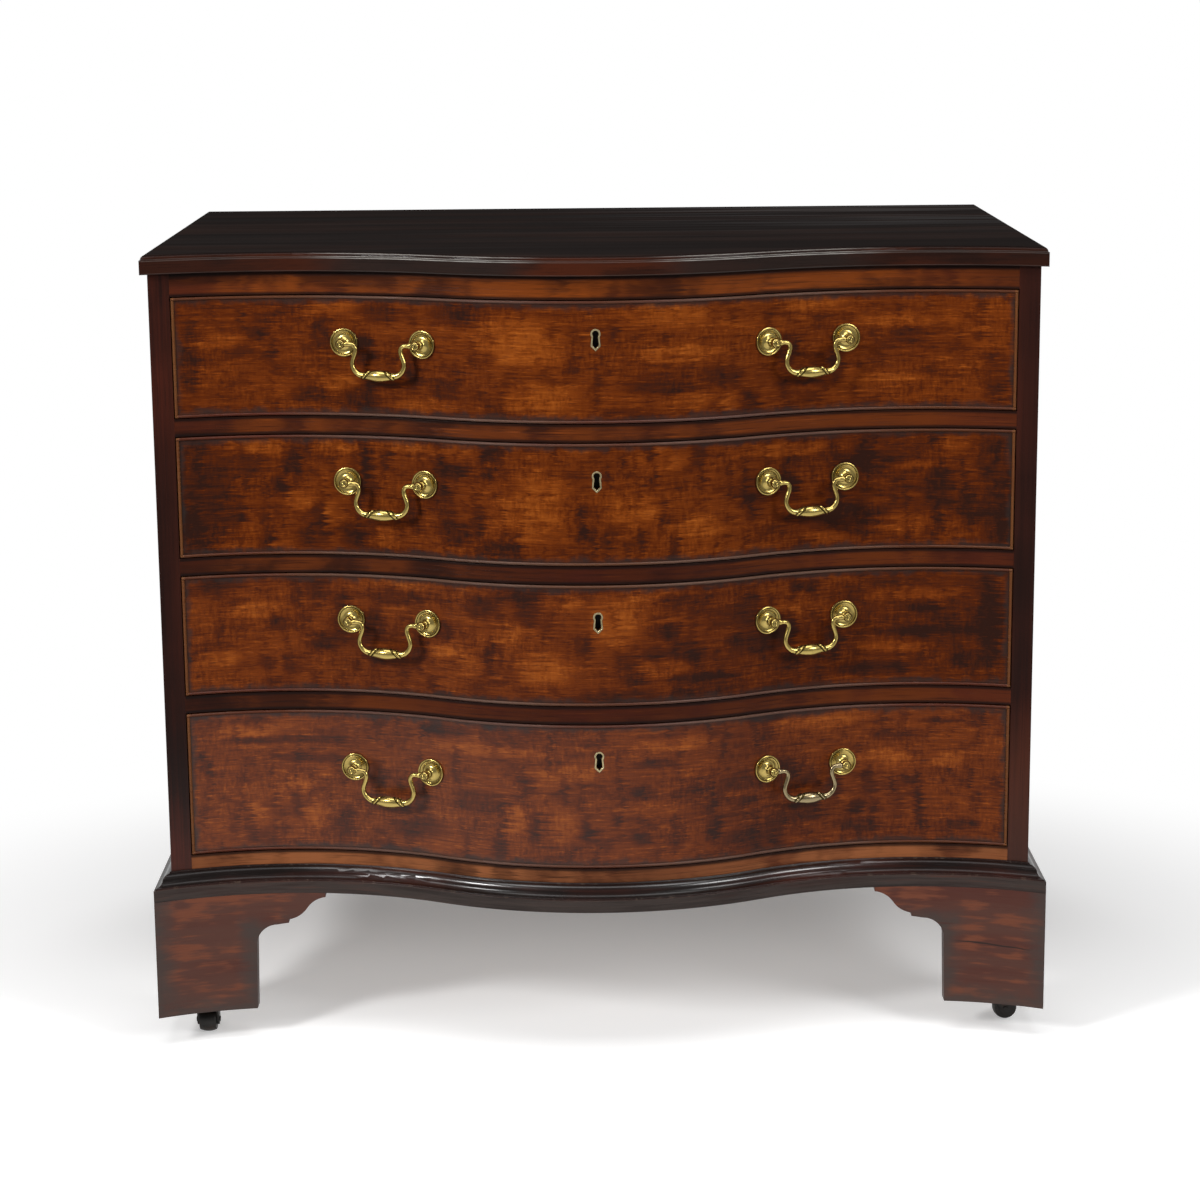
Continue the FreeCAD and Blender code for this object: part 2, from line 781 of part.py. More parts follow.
def make_front_bracket():
    """The serpentine bracket at the right front corner."""
    plan_body = new_body("front_bracket_plan")
    plan = new_sketch(plan_body, "XY", foot_bottom)
    inner_line = Serpentine(s.base_projection - s.bracket_thickness)
    tip_x = base_half - s.bracket_reach
    points = [
        (tip_x, base_line.y_at(tip_x)),
        (base_half, corner_y),
        mitre_inside(s.bracket_thickness),
        (tip_x, inner_line.y_at(tip_x)),
    ]
    draw(plan, points, {0: (RIGHT_TURN, base_line.hollow), 2: (LEFT_TURN, inner_line.hollow)})
    pad(plan_body, plan, s.foot_height)
    outline_body = new_body("front_bracket_outline")
    outline = new_sketch(outline_body, "XZ", rail_back)
    draw_bracket(outline, base_half, -1)
    pad(outline_body, outline, rail_back - front_y + s.base_projection)
    bracket = doc.addObject("Part::Common", "front_bracket")
    bracket.Label = "front_bracket"
    bracket.Base = plan_body
    bracket.Tool = outline_body
    return bracket


def make_side_bracket():
    """The straight bracket behind the right front corner, mitred to the front bracket."""
    body = new_body("side_bracket")
    outline = new_sketch(body, "YZ", base_half - s.bracket_thickness)
    draw_bracket(outline, corner_y, 1)
    pad(body, outline, s.bracket_thickness)
    waste = new_sketch(body, "XY")
    draw_mitre_waste(waste, s.bracket_thickness, keep_front=False)
    pocket(body, waste)
    return body


def make_rear_brackets():
    """The right rear foot: a side bracket that runs through, and a back bracket behind it."""
    side = new_body("rear_side_bracket")
    outline = new_sketch(side, "YZ", base_half - s.bracket_thickness)
    draw_bracket(outline, back_y, -1)
    pad(side, outline, s.bracket_thickness)
    rear = new_body("rear_back_bracket")
    outline = new_sketch(rear, "XZ", back_y)
    draw_bracket(outline, base_half - s.bracket_thickness, -1)
    pad(rear, outline, s.bracket_thickness)
    return [side, rear]


block_inside = base_half - s.bracket_thickness - s.block_width
front_block_y = Serpentine(s.base_projection - s.bracket_thickness).y_at(block_inside) + s.slide_gap
rear_block_y = back_y - s.bracket_thickness - s.block_width
roller_top = 2 * s.roller_radius
crown_top = roller_top + s.crown_gap + s.crown_thickness
plate_foot = crown_top + s.slide_gap
block_foot = plate_foot + s.plate_thickness
castor_x = block_inside + s.block_width / 2
CASTOR_PLACES = {
    "front_left": (-castor_x, front_block_y + s.block_width / 2),
    "front_right": (castor_x, front_block_y + s.block_width / 2),
    "rear_left": (-castor_x, rear_block_y + s.block_width / 2),
    "rear_right": (castor_x, rear_block_y + s.block_width / 2),
}


def make_feet():
    front = group("front_right_foot", [make_front_bracket(), make_side_bracket()])
    rear = group("rear_right_foot", make_rear_brackets())
    for foot, label in ((front, "front_left_foot"), (rear, "rear_left_foot")):
        node(foot)
        node(mirrored(label, foot))
    block = new_body("foot_block")
    square = new_sketch(block, "XY", block_foot)
    half = s.block_width / 2
    draw_box(square, (-half, -half), (half, half))
    pad(block, square, foot_top - block_foot)
    hole = new_sketch(block, "XY", block_foot)
    draw_circle(hole, (ZERO, ZERO), s.pin_radius + s.slide_gap)
    pocket(block, hole, s.pin_length + s.slide_gap * 2, along=True)
    plate = new_body("castor_plate")
    disc = new_sketch(plate, "XY", plate_foot)
    draw_circle(disc, (ZERO, ZERO), s.plate_radius)
    draw_circle(disc, (ZERO, ZERO), s.pin_radius + s.slide_gap)
    pad(plate, disc, s.plate_thickness)
    blocks = []
    plates = []
    for corner, (x, y) in CASTOR_PLACES.items():
        blocks.append(group(corner + "_block", [block], x=x, y=y))
        plates.append(group(corner + "_plate", [plate], x=x, y=y))
    node(group("foot_blocks", blocks))
    node(group("castor_plates", plates))


# Castors

def make_fork():
    """A castor fork that trails to the back, its pin on the z axis."""
    body = new_body("fork")
    crown = new_sketch(body, "XY", crown_top - s.crown_thickness)
    half = s.crown_radius
    end = s.castor_trail + s.cheek_radius
    points = [(half, ZERO), (half, end), (-half, end), (-half, ZERO), (ZERO, -half)]
    draw(crown, points, {3: (LEFT_TURN, s.crown_radius), 4: (LEFT_TURN, s.crown_radius)})
    pad(body, crown, s.crown_thickness)
    pin = new_sketch(body, "XY", crown_top)
    draw_circle(pin, (ZERO, ZERO), s.pin_radius)
    pad(body, pin, s.pin_length + s.slide_gap + s.plate_thickness)
    for side in (-1, 1):
        inner = s.roller_width / 2 + s.slide_gap
        outer = inner + s.cheek_thickness
        cheek = new_sketch(body, "YZ", inner if side > 0 else -outer)
        low = s.castor_trail - s.cheek_radius
        high = s.castor_trail + s.cheek_radius
        axle_z = s.roller_radius
        top = crown_top - s.crown_thickness
        points = [(low, axle_z), (s.castor_trail, axle_z - s.cheek_radius), (high, axle_z)]
        points += [(high, top), (low - s.cheek_radius, top)]
        draw(cheek, points, {0: (LEFT_TURN, s.cheek_radius), 1: (LEFT_TURN, s.cheek_radius)})
        pad(body, cheek, s.cheek_thickness)
    reach = s.roller_width / 2 + s.slide_gap + s.cheek_thickness + s.axle_head
    axle = new_sketch(body, "YZ", -reach)
    draw_circle(axle, (s.castor_trail, s.roller_radius), s.axle_radius)
    pad(body, axle, 2 * reach)
    return body


def make_roller():
    """A barrel roller on the fork's axle."""
    body = new_body("roller")
    section = new_sketch(body, "XY")
    half = s.roller_width / 2
    bore = s.axle_radius + s.slide_gap
    edge = s.roller_radius - s.roller_crown
    crown = (half * half + s.roller_crown * s.roller_crown) / (2 * s.roller_crown)
    points = [(bore, -half), (edge, -half), (s.roller_radius, ZERO), (edge, half), (bore, half)]
    draw(section, points, {1: (LEFT_TURN, crown), 2: (LEFT_TURN, crown)})
    revolve(body, section)
    body.Placement.Rotation = FreeCAD.Rotation(FreeCAD.Vector(0, 0, 1), 90)
    return move(body, y=s.castor_trail, z=s.roller_radius)


def make_castors():
    fork = make_fork()
    roller = make_roller()
    for corner, (x, y) in CASTOR_PLACES.items():
        turn = CASTOR_TURNS[corner]
        node(group(corner + "_castor_fork", [fork], x=x, y=y, turn=turn))
        node(group(corner + "_castor_roller", [roller], x=x, y=y, turn=turn))


# Handles: two posts with roses and nuts, and a swan-neck bail between them

class PostPlace:
    """Where a post meets the serpentine front, and how it leans to stand square on it."""

    def __init__(self, x):
        on_hollow = (x, face_line.join_x)
        lean = larger(*on_hollow, (s.hollow_place - x) / s.hollow_radius, x / bulge_radius)
        upright = root(1 - lean * lean)
        hollow_y = hollow_centre_y + s.hollow_radius * upright
        bulge_y = bulge_centre_y - bulge_radius * upright
        self.x = x
        self.y = larger(*on_hollow, hollow_y, bulge_y)
        self.turn = slope_angle(lean, upright)
        self.head_x = x + s.head_stand * lean
        self.head_y = self.y - s.head_stand * upright


def make_post():
    """A post along -Y with the drawer front's face at y = 0."""
    body = new_body("post")
    section = new_sketch(body, "XY")
    inner_end = s.front_thickness + s.nut_height + s.shank_spare
    head_back = root(s.head_radius * s.head_radius - s.neck_radius * s.neck_radius)
    head_front = root(s.head_radius * s.head_radius - s.finial_radius * s.finial_radius)
    finial_end = s.head_stand + head_front + s.finial_length
    points = [
        (ZERO, inner_end),
        (ZERO, -finial_end),
        (s.finial_radius, -(finial_end - s.finial_length / 2)),
        (s.finial_radius, -(s.head_stand + head_front)),
        (s.neck_radius, -(s.head_stand - head_back)),
        (s.neck_radius, ZERO),
        (s.shank_radius, ZERO),
        (s.shank_radius, inner_end),
    ]
    draw(section, points, {3: (LEFT_TURN, s.head_radius)})
    revolve(body, section)
    return body


def make_rose():
    """A round dished rose with a raised rim and a collar of two steps."""
    body = new_body("rose")
    section = new_sketch(body, "XY")
    lift = s.rose_radius * s.rose_radius / (2 * s.hollow_radius) + s.rose_slack
    low_step = s.rose_dish + s.rose_step
    high_step = low_step + s.rose_step
    dish_edge = s.rose_radius - s.rose_rim
    rise = s.rose_brim - s.rose_dish
    run = dish_edge - s.rose_collar
    dish_radius = (run * run + rise * rise) / (2 * rise)
    points = [
        (s.neck_radius, -lift),
        (s.neck_radius, -high_step),
        (s.rose_collar - s.rose_step, -high_step),
        (s.rose_collar - s.rose_step, -low_step),
        (s.rose_collar, -low_step),
        (s.rose_collar, -s.rose_dish),
        (dish_edge, -s.rose_brim),
        (dish_edge + s.rose_rim / 4, -(s.rose_brim + s.rose_rim / 3)),
        (s.rose_radius - s.rose_rim / 4, -(s.rose_brim + s.rose_rim / 3)),
        (s.rose_radius, -s.rose_brim),
        (s.rose_radius, -lift),
    ]
    draw(section, points, {5: (RIGHT_TURN, dish_radius)})
    revolve(body, section)
    return body


def make_nut():
    body = new_body("nut")
    section = new_sketch(body, "XY")
    low = (s.shank_radius, s.front_thickness)
    draw_box(section, low, (s.nut_radius, s.front_thickness + s.nut_height))
    revolve(body, section)
    return body


inner_post = PostPlace(s.inner_post)
outer_post = PostPlace(s.inner_post + s.post_spread)
chord_x = outer_post.head_x - inner_post.head_x
chord_y = outer_post.head_y - inner_post.head_y
half_chord = root(chord_x * chord_x + chord_y * chord_y) / 2
bail_x = (inner_post.head_x + outer_post.head_x) / 2
bail_y = (inner_post.head_y + outer_post.head_y) / 2
bail_turn = slope_angle(chord_y, chord_x)


def make_handle_mounts():
    """Both pairs of posts, roses and nuts, with the hinge line at z = 0."""
    reach = half_chord + s.pin_engage + s.pin_spare
    bore_body = new_body("bail_bore")
    ring = new_sketch(bore_body, "YZ", -reach)
    draw_circle(ring, (ZERO, ZERO), s.bail_wire + s.slide_gap)
    pad(bore_body, ring, 2 * reach)
    move(bore_body, bail_x, bail_y, ZERO, bail_turn)
    post, rose, nut = make_post(), make_rose(), make_nut()
    pieces = []
    holes = []
    for name, place in (("inner", inner_post), ("outer", outer_post)):
        stance = {"x": place.x, "y": place.y, "turn": place.turn}
        placed = group(name + "_post", [post], **stance)
        bored = cut(name + "_bored_post", placed, bore_body)
        pieces += [bored, group(name + "_rose_and_nut", [rose, nut], **stance)]
        holes.append(group(name + "_post_hole", [post], **stance))
    right = group("right_mounts", pieces)
    right_holes = group("right_post_holes", holes)
    both_holes = group("post_holes", [right_holes, mirrored("left_post_holes", right_holes)])
    return group("handle_mounts", [right, mirrored("left_mounts", right)]), both_holes


def make_bail():
    """A swan-neck bail hanging from the hinge line, which is the x axis."""
    body = new_body("bail")
    grip_z = -s.bail_drop
    belly_z = grip_z + s.corner_radius
    belly_place = s.crest_place + s.belly_swell
    sway = s.belly_swell / 2
    sway_z = (belly_z + s.crest_radius) / 2
    middle_z = (belly_z - s.crest_radius) / 2
    sway_radius = (sway * sway + sway_z * sway_z) / (2 * sway)
    path = new_sketch(body, "XZ")
    points = [
        (ZERO, grip_z),
        (belly_place - s.corner_radius, grip_z),
        (belly_place, belly_z),
        (s.crest_place + sway, middle_z),
        (s.crest_place, -s.crest_radius),
        (s.crest_place + s.crest_radius, ZERO),
        (half_chord + s.pin_engage, ZERO),
    ]
    arcs = {
        1: (LEFT_TURN, s.corner_radius),
        2: (LEFT_TURN, sway_radius),
        3: (RIGHT_TURN, sway_radius),
        4: (RIGHT_TURN, s.crest_radius),
    }
    draw(path, points, arcs, closed=False)
    ring = new_sketch(body, "YZ")
    draw_circle(ring, (ZERO, grip_z), s.bail_wire)
    sweep(body, ring, path)
    grip = new_sketch(body, "XZ")
    swell = s.grip_radius - s.bail_wire
    grip_arc = (s.grip_half * s.grip_half + swell * swell) / (2 * swell)
    points = [
        (ZERO, grip_z),
        (s.grip_half, grip_z),
        (s.grip_half, grip_z + s.bail_wire),
        (ZERO, grip_z + s.grip_radius),
    ]
    draw(grip, points, {2: (LEFT_TURN, grip_arc)})
    turned = body.newObject("PartDesign::Revolution", "grip_revolution")
    turned.Profile = grip
    turned.ReferenceAxis = (grip, ["Edge1"])
    turned.Angle = 360
    mirror_whole(body)
    return move(body, bail_x, bail_y, ZERO, bail_turn)


# Locks: the keyhole's middle lies at x = 0, z = 0

lock_top = s.keyhole_drop


def draw_keyhole(sketch, wall, middle=ZERO):
    """The keyhole's outline, moved outwards by a wall."""
    circle = s.keyhole_round + wall
    half_neck = s.keyhole_neck / 2 + wall
    half_flare = s.keyhole_flare / 2 + wall
    eye = middle + s.keyhole_eye
    neck = eye - root(circle * circle - half_neck * half_neck)
    foot = middle - s.keyhole_foot - wall * math.sqrt(2)
    points = [
        (half_neck, neck),
        (ZERO, eye + circle),
        (-half_neck, neck),
        (-half_flare, foot + half_flare),
        (ZERO, foot),
        (half_flare, foot + half_flare),
    ]
    draw(sketch, points, {0: (LEFT_TURN, circle), 1: (LEFT_TURN, circle)})


def make_lock():
    """Lock case and brass thread, with a way for the bolt."""
    case = new_body("lock_case")
    plate = new_sketch(case, "XZ", front_y + s.front_thickness - s.lock_depth)
    half = s.lock_width / 2
    draw_box(plate, (-half, lock_top - s.lock_height), (half, lock_top))
    pad(case, plate, s.lock_depth, back=True)
    way = new_sketch(case, "XY", lock_top)
    half_x = s.bolt_width / 2 + s.slide_gap
    half_y = s.bolt_thickness / 2 + s.slide_gap
    draw_box(way, (-half_x, bolt_y - half_y), (half_x, bolt_y + half_y))
    pocket(case, way, s.bolt_length + s.slide_gap)
    keyway = new_sketch(case, "XZ", front_y + s.front_thickness - s.lock_depth)
    draw_keyhole(keyway, ZERO)
    pocket(case, keyway, s.lock_depth / 3)
    thread = new_body("keyhole_thread")
    ring = new_sketch(thread, "XZ", front_y - s.thread_proud)
    draw_keyhole(ring, s.thread_wall)
    draw_keyhole(ring, ZERO)
    pad(thread, ring, s.thread_proud + s.thread_depth, back=True)
    bolt = box(
        "lock_bolt",
        (-s.bolt_width / 2, bolt_y - s.bolt_thickness / 2, lock_top - s.bolt_length),
        (s.bolt_width / 2, bolt_y + s.bolt_thickness / 2, lock_top),
    )
    return group("lock", [case, thread]), bolt


# Drawers

landing_line = Serpentine(-s.front_thickness)
landing_y = landing_line.y_at(lining_inside)
drawer_back_y = board_front - s.drawer_back_gap
bottom_line = Serpentine(s.bottom_groove - s.front_thickness)
bottom_half = lining_inside - s.bottom_groove
seat_line = Serpentine(-s.bead_seat)
proud_line = Serpentine(s.bead_proud)


def make_drawer_front(label, foot, height, bottom_foot):
    """A serpentine front, rebated all round for cockbeads, with lock mortise and keyhole."""
    body = new_body(label + "_blank")
    core = new_sketch(body, "XY", foot)
    points = seat_line.to_right(drawer_half) + [
        (drawer_half, landing_y),
        (lining_inside, landing_y),
        (landing_line.join_x, landing_line.join_y),
        (-landing_line.join_x, landing_line.join_y),
        (-lining_inside, landing_y),
        (-drawer_half, landing_y),
    ]
    draw(core, points, {**seat_line.right_arcs(), **landing_line.left_arcs(5)})
    pad(body, core, height)
    face = new_sketch(body, "XY", foot + s.bead_thickness)
    draw_strip_plan(face, face_line, seat_line, drawer_half - s.bead_thickness)
    pad(body, face, height - 2 * s.bead_thickness)
    groove = new_sketch(body, "XY", bottom_foot)
    draw_front_plan(groove, bottom_line, bottom_half, inner_hollow_y + s.bottom_groove)
    pocket(body, groove, s.bottom_thickness, along=True)
    top = foot + height
    keyhole_z = top - s.keyhole_drop
    lock_front = front_y + s.front_thickness - s.lock_depth
    mortise = new_sketch(body, "XZ", lock_front)
    half = s.lock_width / 2
    draw_box(mortise, (-half, top - s.lock_height), (half, top))
    pocket(body, mortise, s.lock_depth * 2)
    keyhole = new_sketch(body, "XZ", front_y - s.bead_proud)
    draw_keyhole(keyhole, ZERO, keyhole_z)
    pocket(body, keyhole, s.bead_proud + s.front_thickness)
    recess = new_sketch(body, "XZ", front_y - s.bead_proud)
    draw_keyhole(recess, s.thread_wall, keyhole_z)
    pocket(body, recess, s.bead_proud + s.thread_depth)
    return body


def draw_tails(sketch, count, shoulder, length, low, high):
    """A row of dovetails that widen away from their shoulder."""
    pitch = (high - low) / count
    for place in range(count):
        middle = low + pitch * (place + 0.5)
        neck = s.tail_neck / 2
        wide = neck + s.tail_flare
        points = [
            (shoulder, middle - neck),
            (shoulder, middle + neck),
            (shoulder + length, middle + wide),
            (shoulder + length, middle - wide),
        ]
        draw(sketch, points)


def make_drawer_side(label, foot, top, bottom_foot):
    """The right side of a drawer, with dovetails at both ends and a groove for the bottom."""
    body = new_body(label)
    shoulder = drawer_back_y - s.drawer_back_thickness
    bottom_top = bottom_foot + s.bottom_thickness
    board = new_sketch(body, "YZ", lining_inside)
    points = [
        (landing_y, foot),
        (drawer_back_y, foot),
        (drawer_back_y, bottom_top),
        (shoulder, bottom_top),
        (shoulder, top),
        (landing_y, top),
    ]
    draw(board, points)
    pad(body, board, s.lining_thickness)
    front_tails = new_sketch(body, "YZ", lining_inside)
    draw_tails(front_tails, TAILS_FRONT, landing_y, -s.tail_length, foot + s.bead_thickness, top)
    pad(body, front_tails, s.lining_thickness)
    back_tails = new_sketch(body, "YZ", lining_inside)
    draw_tails(back_tails, TAILS_BACK, shoulder, s.drawer_back_thickness, bottom_top, top)
    pad(body, back_tails, s.lining_thickness)
    groove = new_sketch(body, "YZ", lining_inside)
    draw_box(groove, (landing_y, bottom_foot), (drawer_back_y, bottom_top))
    pocket(body, groove, s.bottom_groove, along=True)
    return body


def make_drawer_bottom(label, bottom_foot):
    body = new_body(label)
    plan = new_sketch(body, "XY", bottom_foot)
    housed = lining_inside + s.bottom_groove
    step_y = landing_line.y_at(bottom_half)
    points = bottom_line.to_right(bottom_half) + [
        (bottom_half, step_y),
        (housed, step_y),
        (housed, drawer_back_y),
        (-housed, drawer_back_y),
        (-housed, step_y),
        (-bottom_half, step_y),
    ]
    draw(plan, points, bottom_line.right_arcs())
    pad(body, plan, s.bottom_thickness)
    return node(body)


def make_long_bead():
    """The bead along the top or bottom of a drawer front, with its foot at z = 0."""
    body = new_body("long_bead")
    path = new_sketch(body, "XY")
    draw_half_line(path, proud_line, drawer_half + s.bead_seat)
    section = new_sketch(body, "YZ")
    nose = front_y - s.bead_proud
    seat = front_y + s.bead_seat
    points = [
        (seat, ZERO),
        (nose + s.bead_ease, ZERO),
        (nose, s.bead_ease),
        (nose, s.bead_thickness - s.bead_ease),
        (nose + s.bead_ease, s.bead_thickness),
        (seat, s.bead_thickness),
    ]
    draw(section, points)
    sweep(body, section, path)
    waste = new_sketch(body, "XY")
    end_y = proud_line.y_at(drawer_half)
    reach = 2 * s.bead_seat
    draw_box(waste, (drawer_half, end_y - reach), (drawer_half + reach, end_y + reach))
    pocket(body, waste)
    mirror_whole(body)
    return body


def make_end_bead(label, foot, height):
    """The upright bead at the right end of a drawer front."""
    body = new_body(label)
    inner = drawer_half - s.bead_thickness
    plan = new_sketch(body, "XY", foot)
    points = [
        (inner, proud_line.y_at(inner)),
        (drawer_half, proud_line.y_at(drawer_half)),
        (drawer_half, seat_line.y_at(drawer_half)),
        (inner, seat_line.y_at(inner)),
    ]
    draw(plan, points, {0: (RIGHT_TURN, proud_line.hollow), 2: (LEFT_TURN, seat_line.hollow)})
    upright = pad(body, plan, height)
    proud_limit = (proud_line.y_at(inner) + s.bead_seat / 4).number

    def is_proud(edge):
        edge_box = edge.BoundBox
        return edge_box.YMax < proud_limit and edge_box.ZLength > height.number / 2

    soften_edges(body, upright, "Chamfer", s.bead_ease, is_proud)
    return body


def make_drawer(number, patterns):
    name = f"drawer_{number}"
    opening = opening_foot[number]
    foot = opening + s.drawer_gap
    height = opening_height[number] - 2 * s.drawer_gap
    top = foot + height
    side_foot = opening + s.slide_gap
    bottom_foot = side_foot + s.bottom_height
    blank = make_drawer_front(name, foot, height, bottom_foot)
    right = make_drawer_side(name + "_right_lining", side_foot, top - s.lining_drop, bottom_foot)
    left = mirrored(name + "_left_lining", right)
    drop = s.deep_handle_drop if number == DEEP_DRAWER else s.handle_drop
    handle_z = top - drop
    holes = group(name + "_post_holes", [patterns.holes], z=handle_z)
    node(cut(name + "_front", blank, group(name + "_front_cuts", [left, right, holes])))
    bottom_top = bottom_foot + s.bottom_thickness
    back = box(
        name + "_back_board",
        (-drawer_half, drawer_back_y - s.drawer_back_thickness, bottom_top),
        (drawer_half, drawer_back_y, top - s.lining_drop),
    )
    tailed_back = cut(name + "_tailed_back", back, group(name + "_back_cuts", [left, right]))
    node(group(name + "_lining", [left, right, tailed_back]))
    make_drawer_bottom(name + "_bottom", bottom_foot)
    low_bead = group(name + "_low_bead", [patterns.long_bead], z=foot)
    high_bead = group(name + "_high_bead", [patterns.long_bead], z=top - s.bead_thickness)
    end_bead = make_end_bead(name + "_right_bead", foot + s.bead_thickness, height - 2 * s.bead_thickness)
    beads = [low_bead, high_bead, end_bead, mirrored(name + "_left_bead", end_bead)]
    node(group(name + "_cockbeads", beads))
    keyhole_z = top - s.keyhole_drop
    node(group(name + "_lock", [patterns.lock], z=keyhole_z))
    node(group(name + "_lock_bolt", [patterns.bolt], z=keyhole_z))
    node(group(name + "_handle_mounts", [patterns.mounts], z=handle_z))
    node(group(name + "_right_bail", [patterns.bail], z=handle_z))
    node(group(name + "_left_bail", [patterns.left_bail], z=handle_z))


def make_drawers():
    mounts, holes = make_handle_mounts()
    lock, bolt = make_lock()
    bail = make_bail()
    patterns = SimpleNamespace(
        mounts=mounts,
        holes=holes,
        lock=lock,
        bolt=bolt,
        bail=bail,
        left_bail=mirrored("left_bail", bail),
        long_bead=make_long_bead(),
    )
    for number in DRAWERS:
        make_drawer(number, patterns)


make_top_board()
make_side()
make_rails()
make_inside_boards()
make_runners_and_stops()
make_base_moulding()
make_feet()
make_castors()
make_drawers()
doc.recompute()

faults = [thing.Label for thing in doc.Objects if {"Invalid", "Error"} & set(thing.State)]
for thing in NODES:
    if thing.Shape.isNull() or not thing.Shape.isValid():
        faults.append(thing.Label + " has no valid shape")
if faults:
    raise RuntimeError("these did not build: " + ", ".join(faults))

os.makedirs("parts", exist_ok=True)
for thing in NODES:
    thing.Shape.exportStep(os.path.join("parts", thing.Label + ".step"))
    print(thing.Label, "solids:", len(thing.Shape.Solids), "volume:", round(thing.Shape.Volume))
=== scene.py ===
import functools
import json
import math

import bpy
from mathutils import Matrix, Vector


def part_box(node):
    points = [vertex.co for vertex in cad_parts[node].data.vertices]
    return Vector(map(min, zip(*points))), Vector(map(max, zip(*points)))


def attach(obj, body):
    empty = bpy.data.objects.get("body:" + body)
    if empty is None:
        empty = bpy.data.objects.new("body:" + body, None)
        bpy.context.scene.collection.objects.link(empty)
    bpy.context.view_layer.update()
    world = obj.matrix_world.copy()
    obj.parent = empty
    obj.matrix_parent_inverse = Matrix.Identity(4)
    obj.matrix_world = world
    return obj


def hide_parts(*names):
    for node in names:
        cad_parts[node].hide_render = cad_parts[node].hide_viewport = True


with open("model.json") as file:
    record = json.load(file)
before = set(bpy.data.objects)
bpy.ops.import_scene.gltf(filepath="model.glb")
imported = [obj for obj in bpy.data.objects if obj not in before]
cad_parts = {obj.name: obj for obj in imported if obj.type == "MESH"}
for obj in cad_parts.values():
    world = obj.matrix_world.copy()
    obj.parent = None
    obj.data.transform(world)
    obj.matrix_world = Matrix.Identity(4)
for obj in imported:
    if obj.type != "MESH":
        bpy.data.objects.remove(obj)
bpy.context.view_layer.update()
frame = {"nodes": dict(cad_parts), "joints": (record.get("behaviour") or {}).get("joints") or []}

bl_info = {
    "name": "Serpentine chest of drawers",
    "version": (1, 0, 0),
    "blender": (4, 5, 0),
    "location": "View3D > Sidebar > Chest",
    "description": "Finishes, brassware and studio for a serpentine chest of four long drawers",
    "category": "Object",
}

DRAWERS = (1, 2, 3, 4)
CORNERS = ("front_left", "front_right", "rear_left", "rear_right")
MM = 0.001

# The hollows of the serpentine front in plan, in metres
HOLLOW_PLACE = 0.345
HOLLOW_RADIUS = 0.3825
HOLLOW_CENTRE_Y = -0.607


# Sizes and colours

def colour(name, description, default):
    return bpy.props.FloatVectorProperty(
        name=name, description=description, default=default, size=3, subtype="COLOR", min=0, max=1)


def length(name, description, default):
    return bpy.props.FloatProperty(
        name=name, description=description, default=default, unit="LENGTH", precision=4, min=0)


class ChestColours(bpy.types.PropertyGroup):
    """Colours of the woods and metals"""

    flame_dark: colour("Figure, dark", "Darkest blotches of the drawer fronts", (0.0250, 0.0088, 0.0056))
    flame_red: colour("Figure, red", "Red-brown ground of the drawer fronts", (0.0790, 0.0152, 0.0032))
    flame_brown: colour("Figure, brown", "Orange-brown ground of the drawer fronts", (0.1480, 0.0305, 0.0042))
    flame_gold: colour("Figure, gold", "Golden flashes of the drawer fronts", (0.3800, 0.0985, 0.0120))
    stile_dark: colour("Mahogany, dark", "Dark grain of the carcass", (0.0110, 0.0046, 0.0036))
    stile_red: colour("Mahogany, red", "Red grain of the carcass", (0.0640, 0.0128, 0.0066))
    side: colour("Sides", "Red-brown ground of the sides", (0.0720, 0.0185, 0.0085))
    rail_top: colour("Rails, top", "Rail under the top", (0.1750, 0.0400, 0.0062))
    rail_middle: colour("Rails, middle", "Rails between the drawers", (0.0500, 0.0112, 0.0044))
    rail_low: colour("Rails, bottom", "Rail under the lowest drawer", (0.2700, 0.0930, 0.0340))
    foot: colour("Feet", "Red-brown ground of the feet", (0.0730, 0.0262, 0.0170))
    foot_red: colour("Feet, streaks", "Red streaks of the feet", (0.1500, 0.0420, 0.0175))
    smoke: colour("Smoke", "Smoky edges of the feet and the band of the base", (0.0420, 0.0310, 0.0270))
    wear: colour("Wear", "Bare wood on worn arrises", (0.2200, 0.1650, 0.1200))
    top_edge: colour("Top, edge", "Moulded edge of the top", (0.0520, 0.0130, 0.0058))
    # Painted highlight: pale lines on the top's arrises standing in for reflections of the lamps
    arris_highlight: colour("Top, wax", "Waxed lines on the arrises of the top", (0.4200, 0.4000, 0.3700))
    top_dark: colour("Top, dark", "Ground of the top", (0.0075, 0.0048, 0.0042))
    top_brown: colour("Top, brown", "Streaks of the top", (0.0170, 0.0085, 0.0065))
    bead: colour("Cockbead", "Beads round the drawer fronts", (0.0850, 0.0300, 0.0120))
    bead_end: colour("Cockbead, ends", "Short beads at the ends of the drawers", (0.1900, 0.0750, 0.0240))
    # Painted highlight: the grey of the long beads beside the bulge stands in for reflections of the lamps
    bead_highlight: colour("Cockbead, waxed", "Waxed stretches of the long beads", (0.1250, 0.0930, 0.0760))
    # The darkening round the brass is not this colour: it is painted shadow, laid into the tone of the figure
    dirt: colour("Old polish", "Dirt along edges and round the brass", (0.0260, 0.0185, 0.0165))
    brass: colour("Brass", "Polished brass", (0.4700, 0.3500, 0.1080))
    tarnish: colour("Tarnish", "Recesses of the brass", (0.0420, 0.0290, 0.0060))
    silvered: colour("Worn bail", "The one bail that has lost its colour", (0.3000, 0.2350, 0.1300))
    thread: colour("Keyhole thread", "Brass round the keyholes", (0.5200, 0.4200, 0.2300))
    iron: colour("Castor iron", "Castors", (0.020, 0.0180, 0.0165))
    rust: colour("Rust", "Rusty patches of the castors", (0.0500, 0.0220, 0.0120))
    oak: colour("Oak", "Drawer linings", (0.360, 0.2050, 0.0900))
    pine: colour("Pine", "Boards inside and at the back", (0.360, 0.1950, 0.0850))


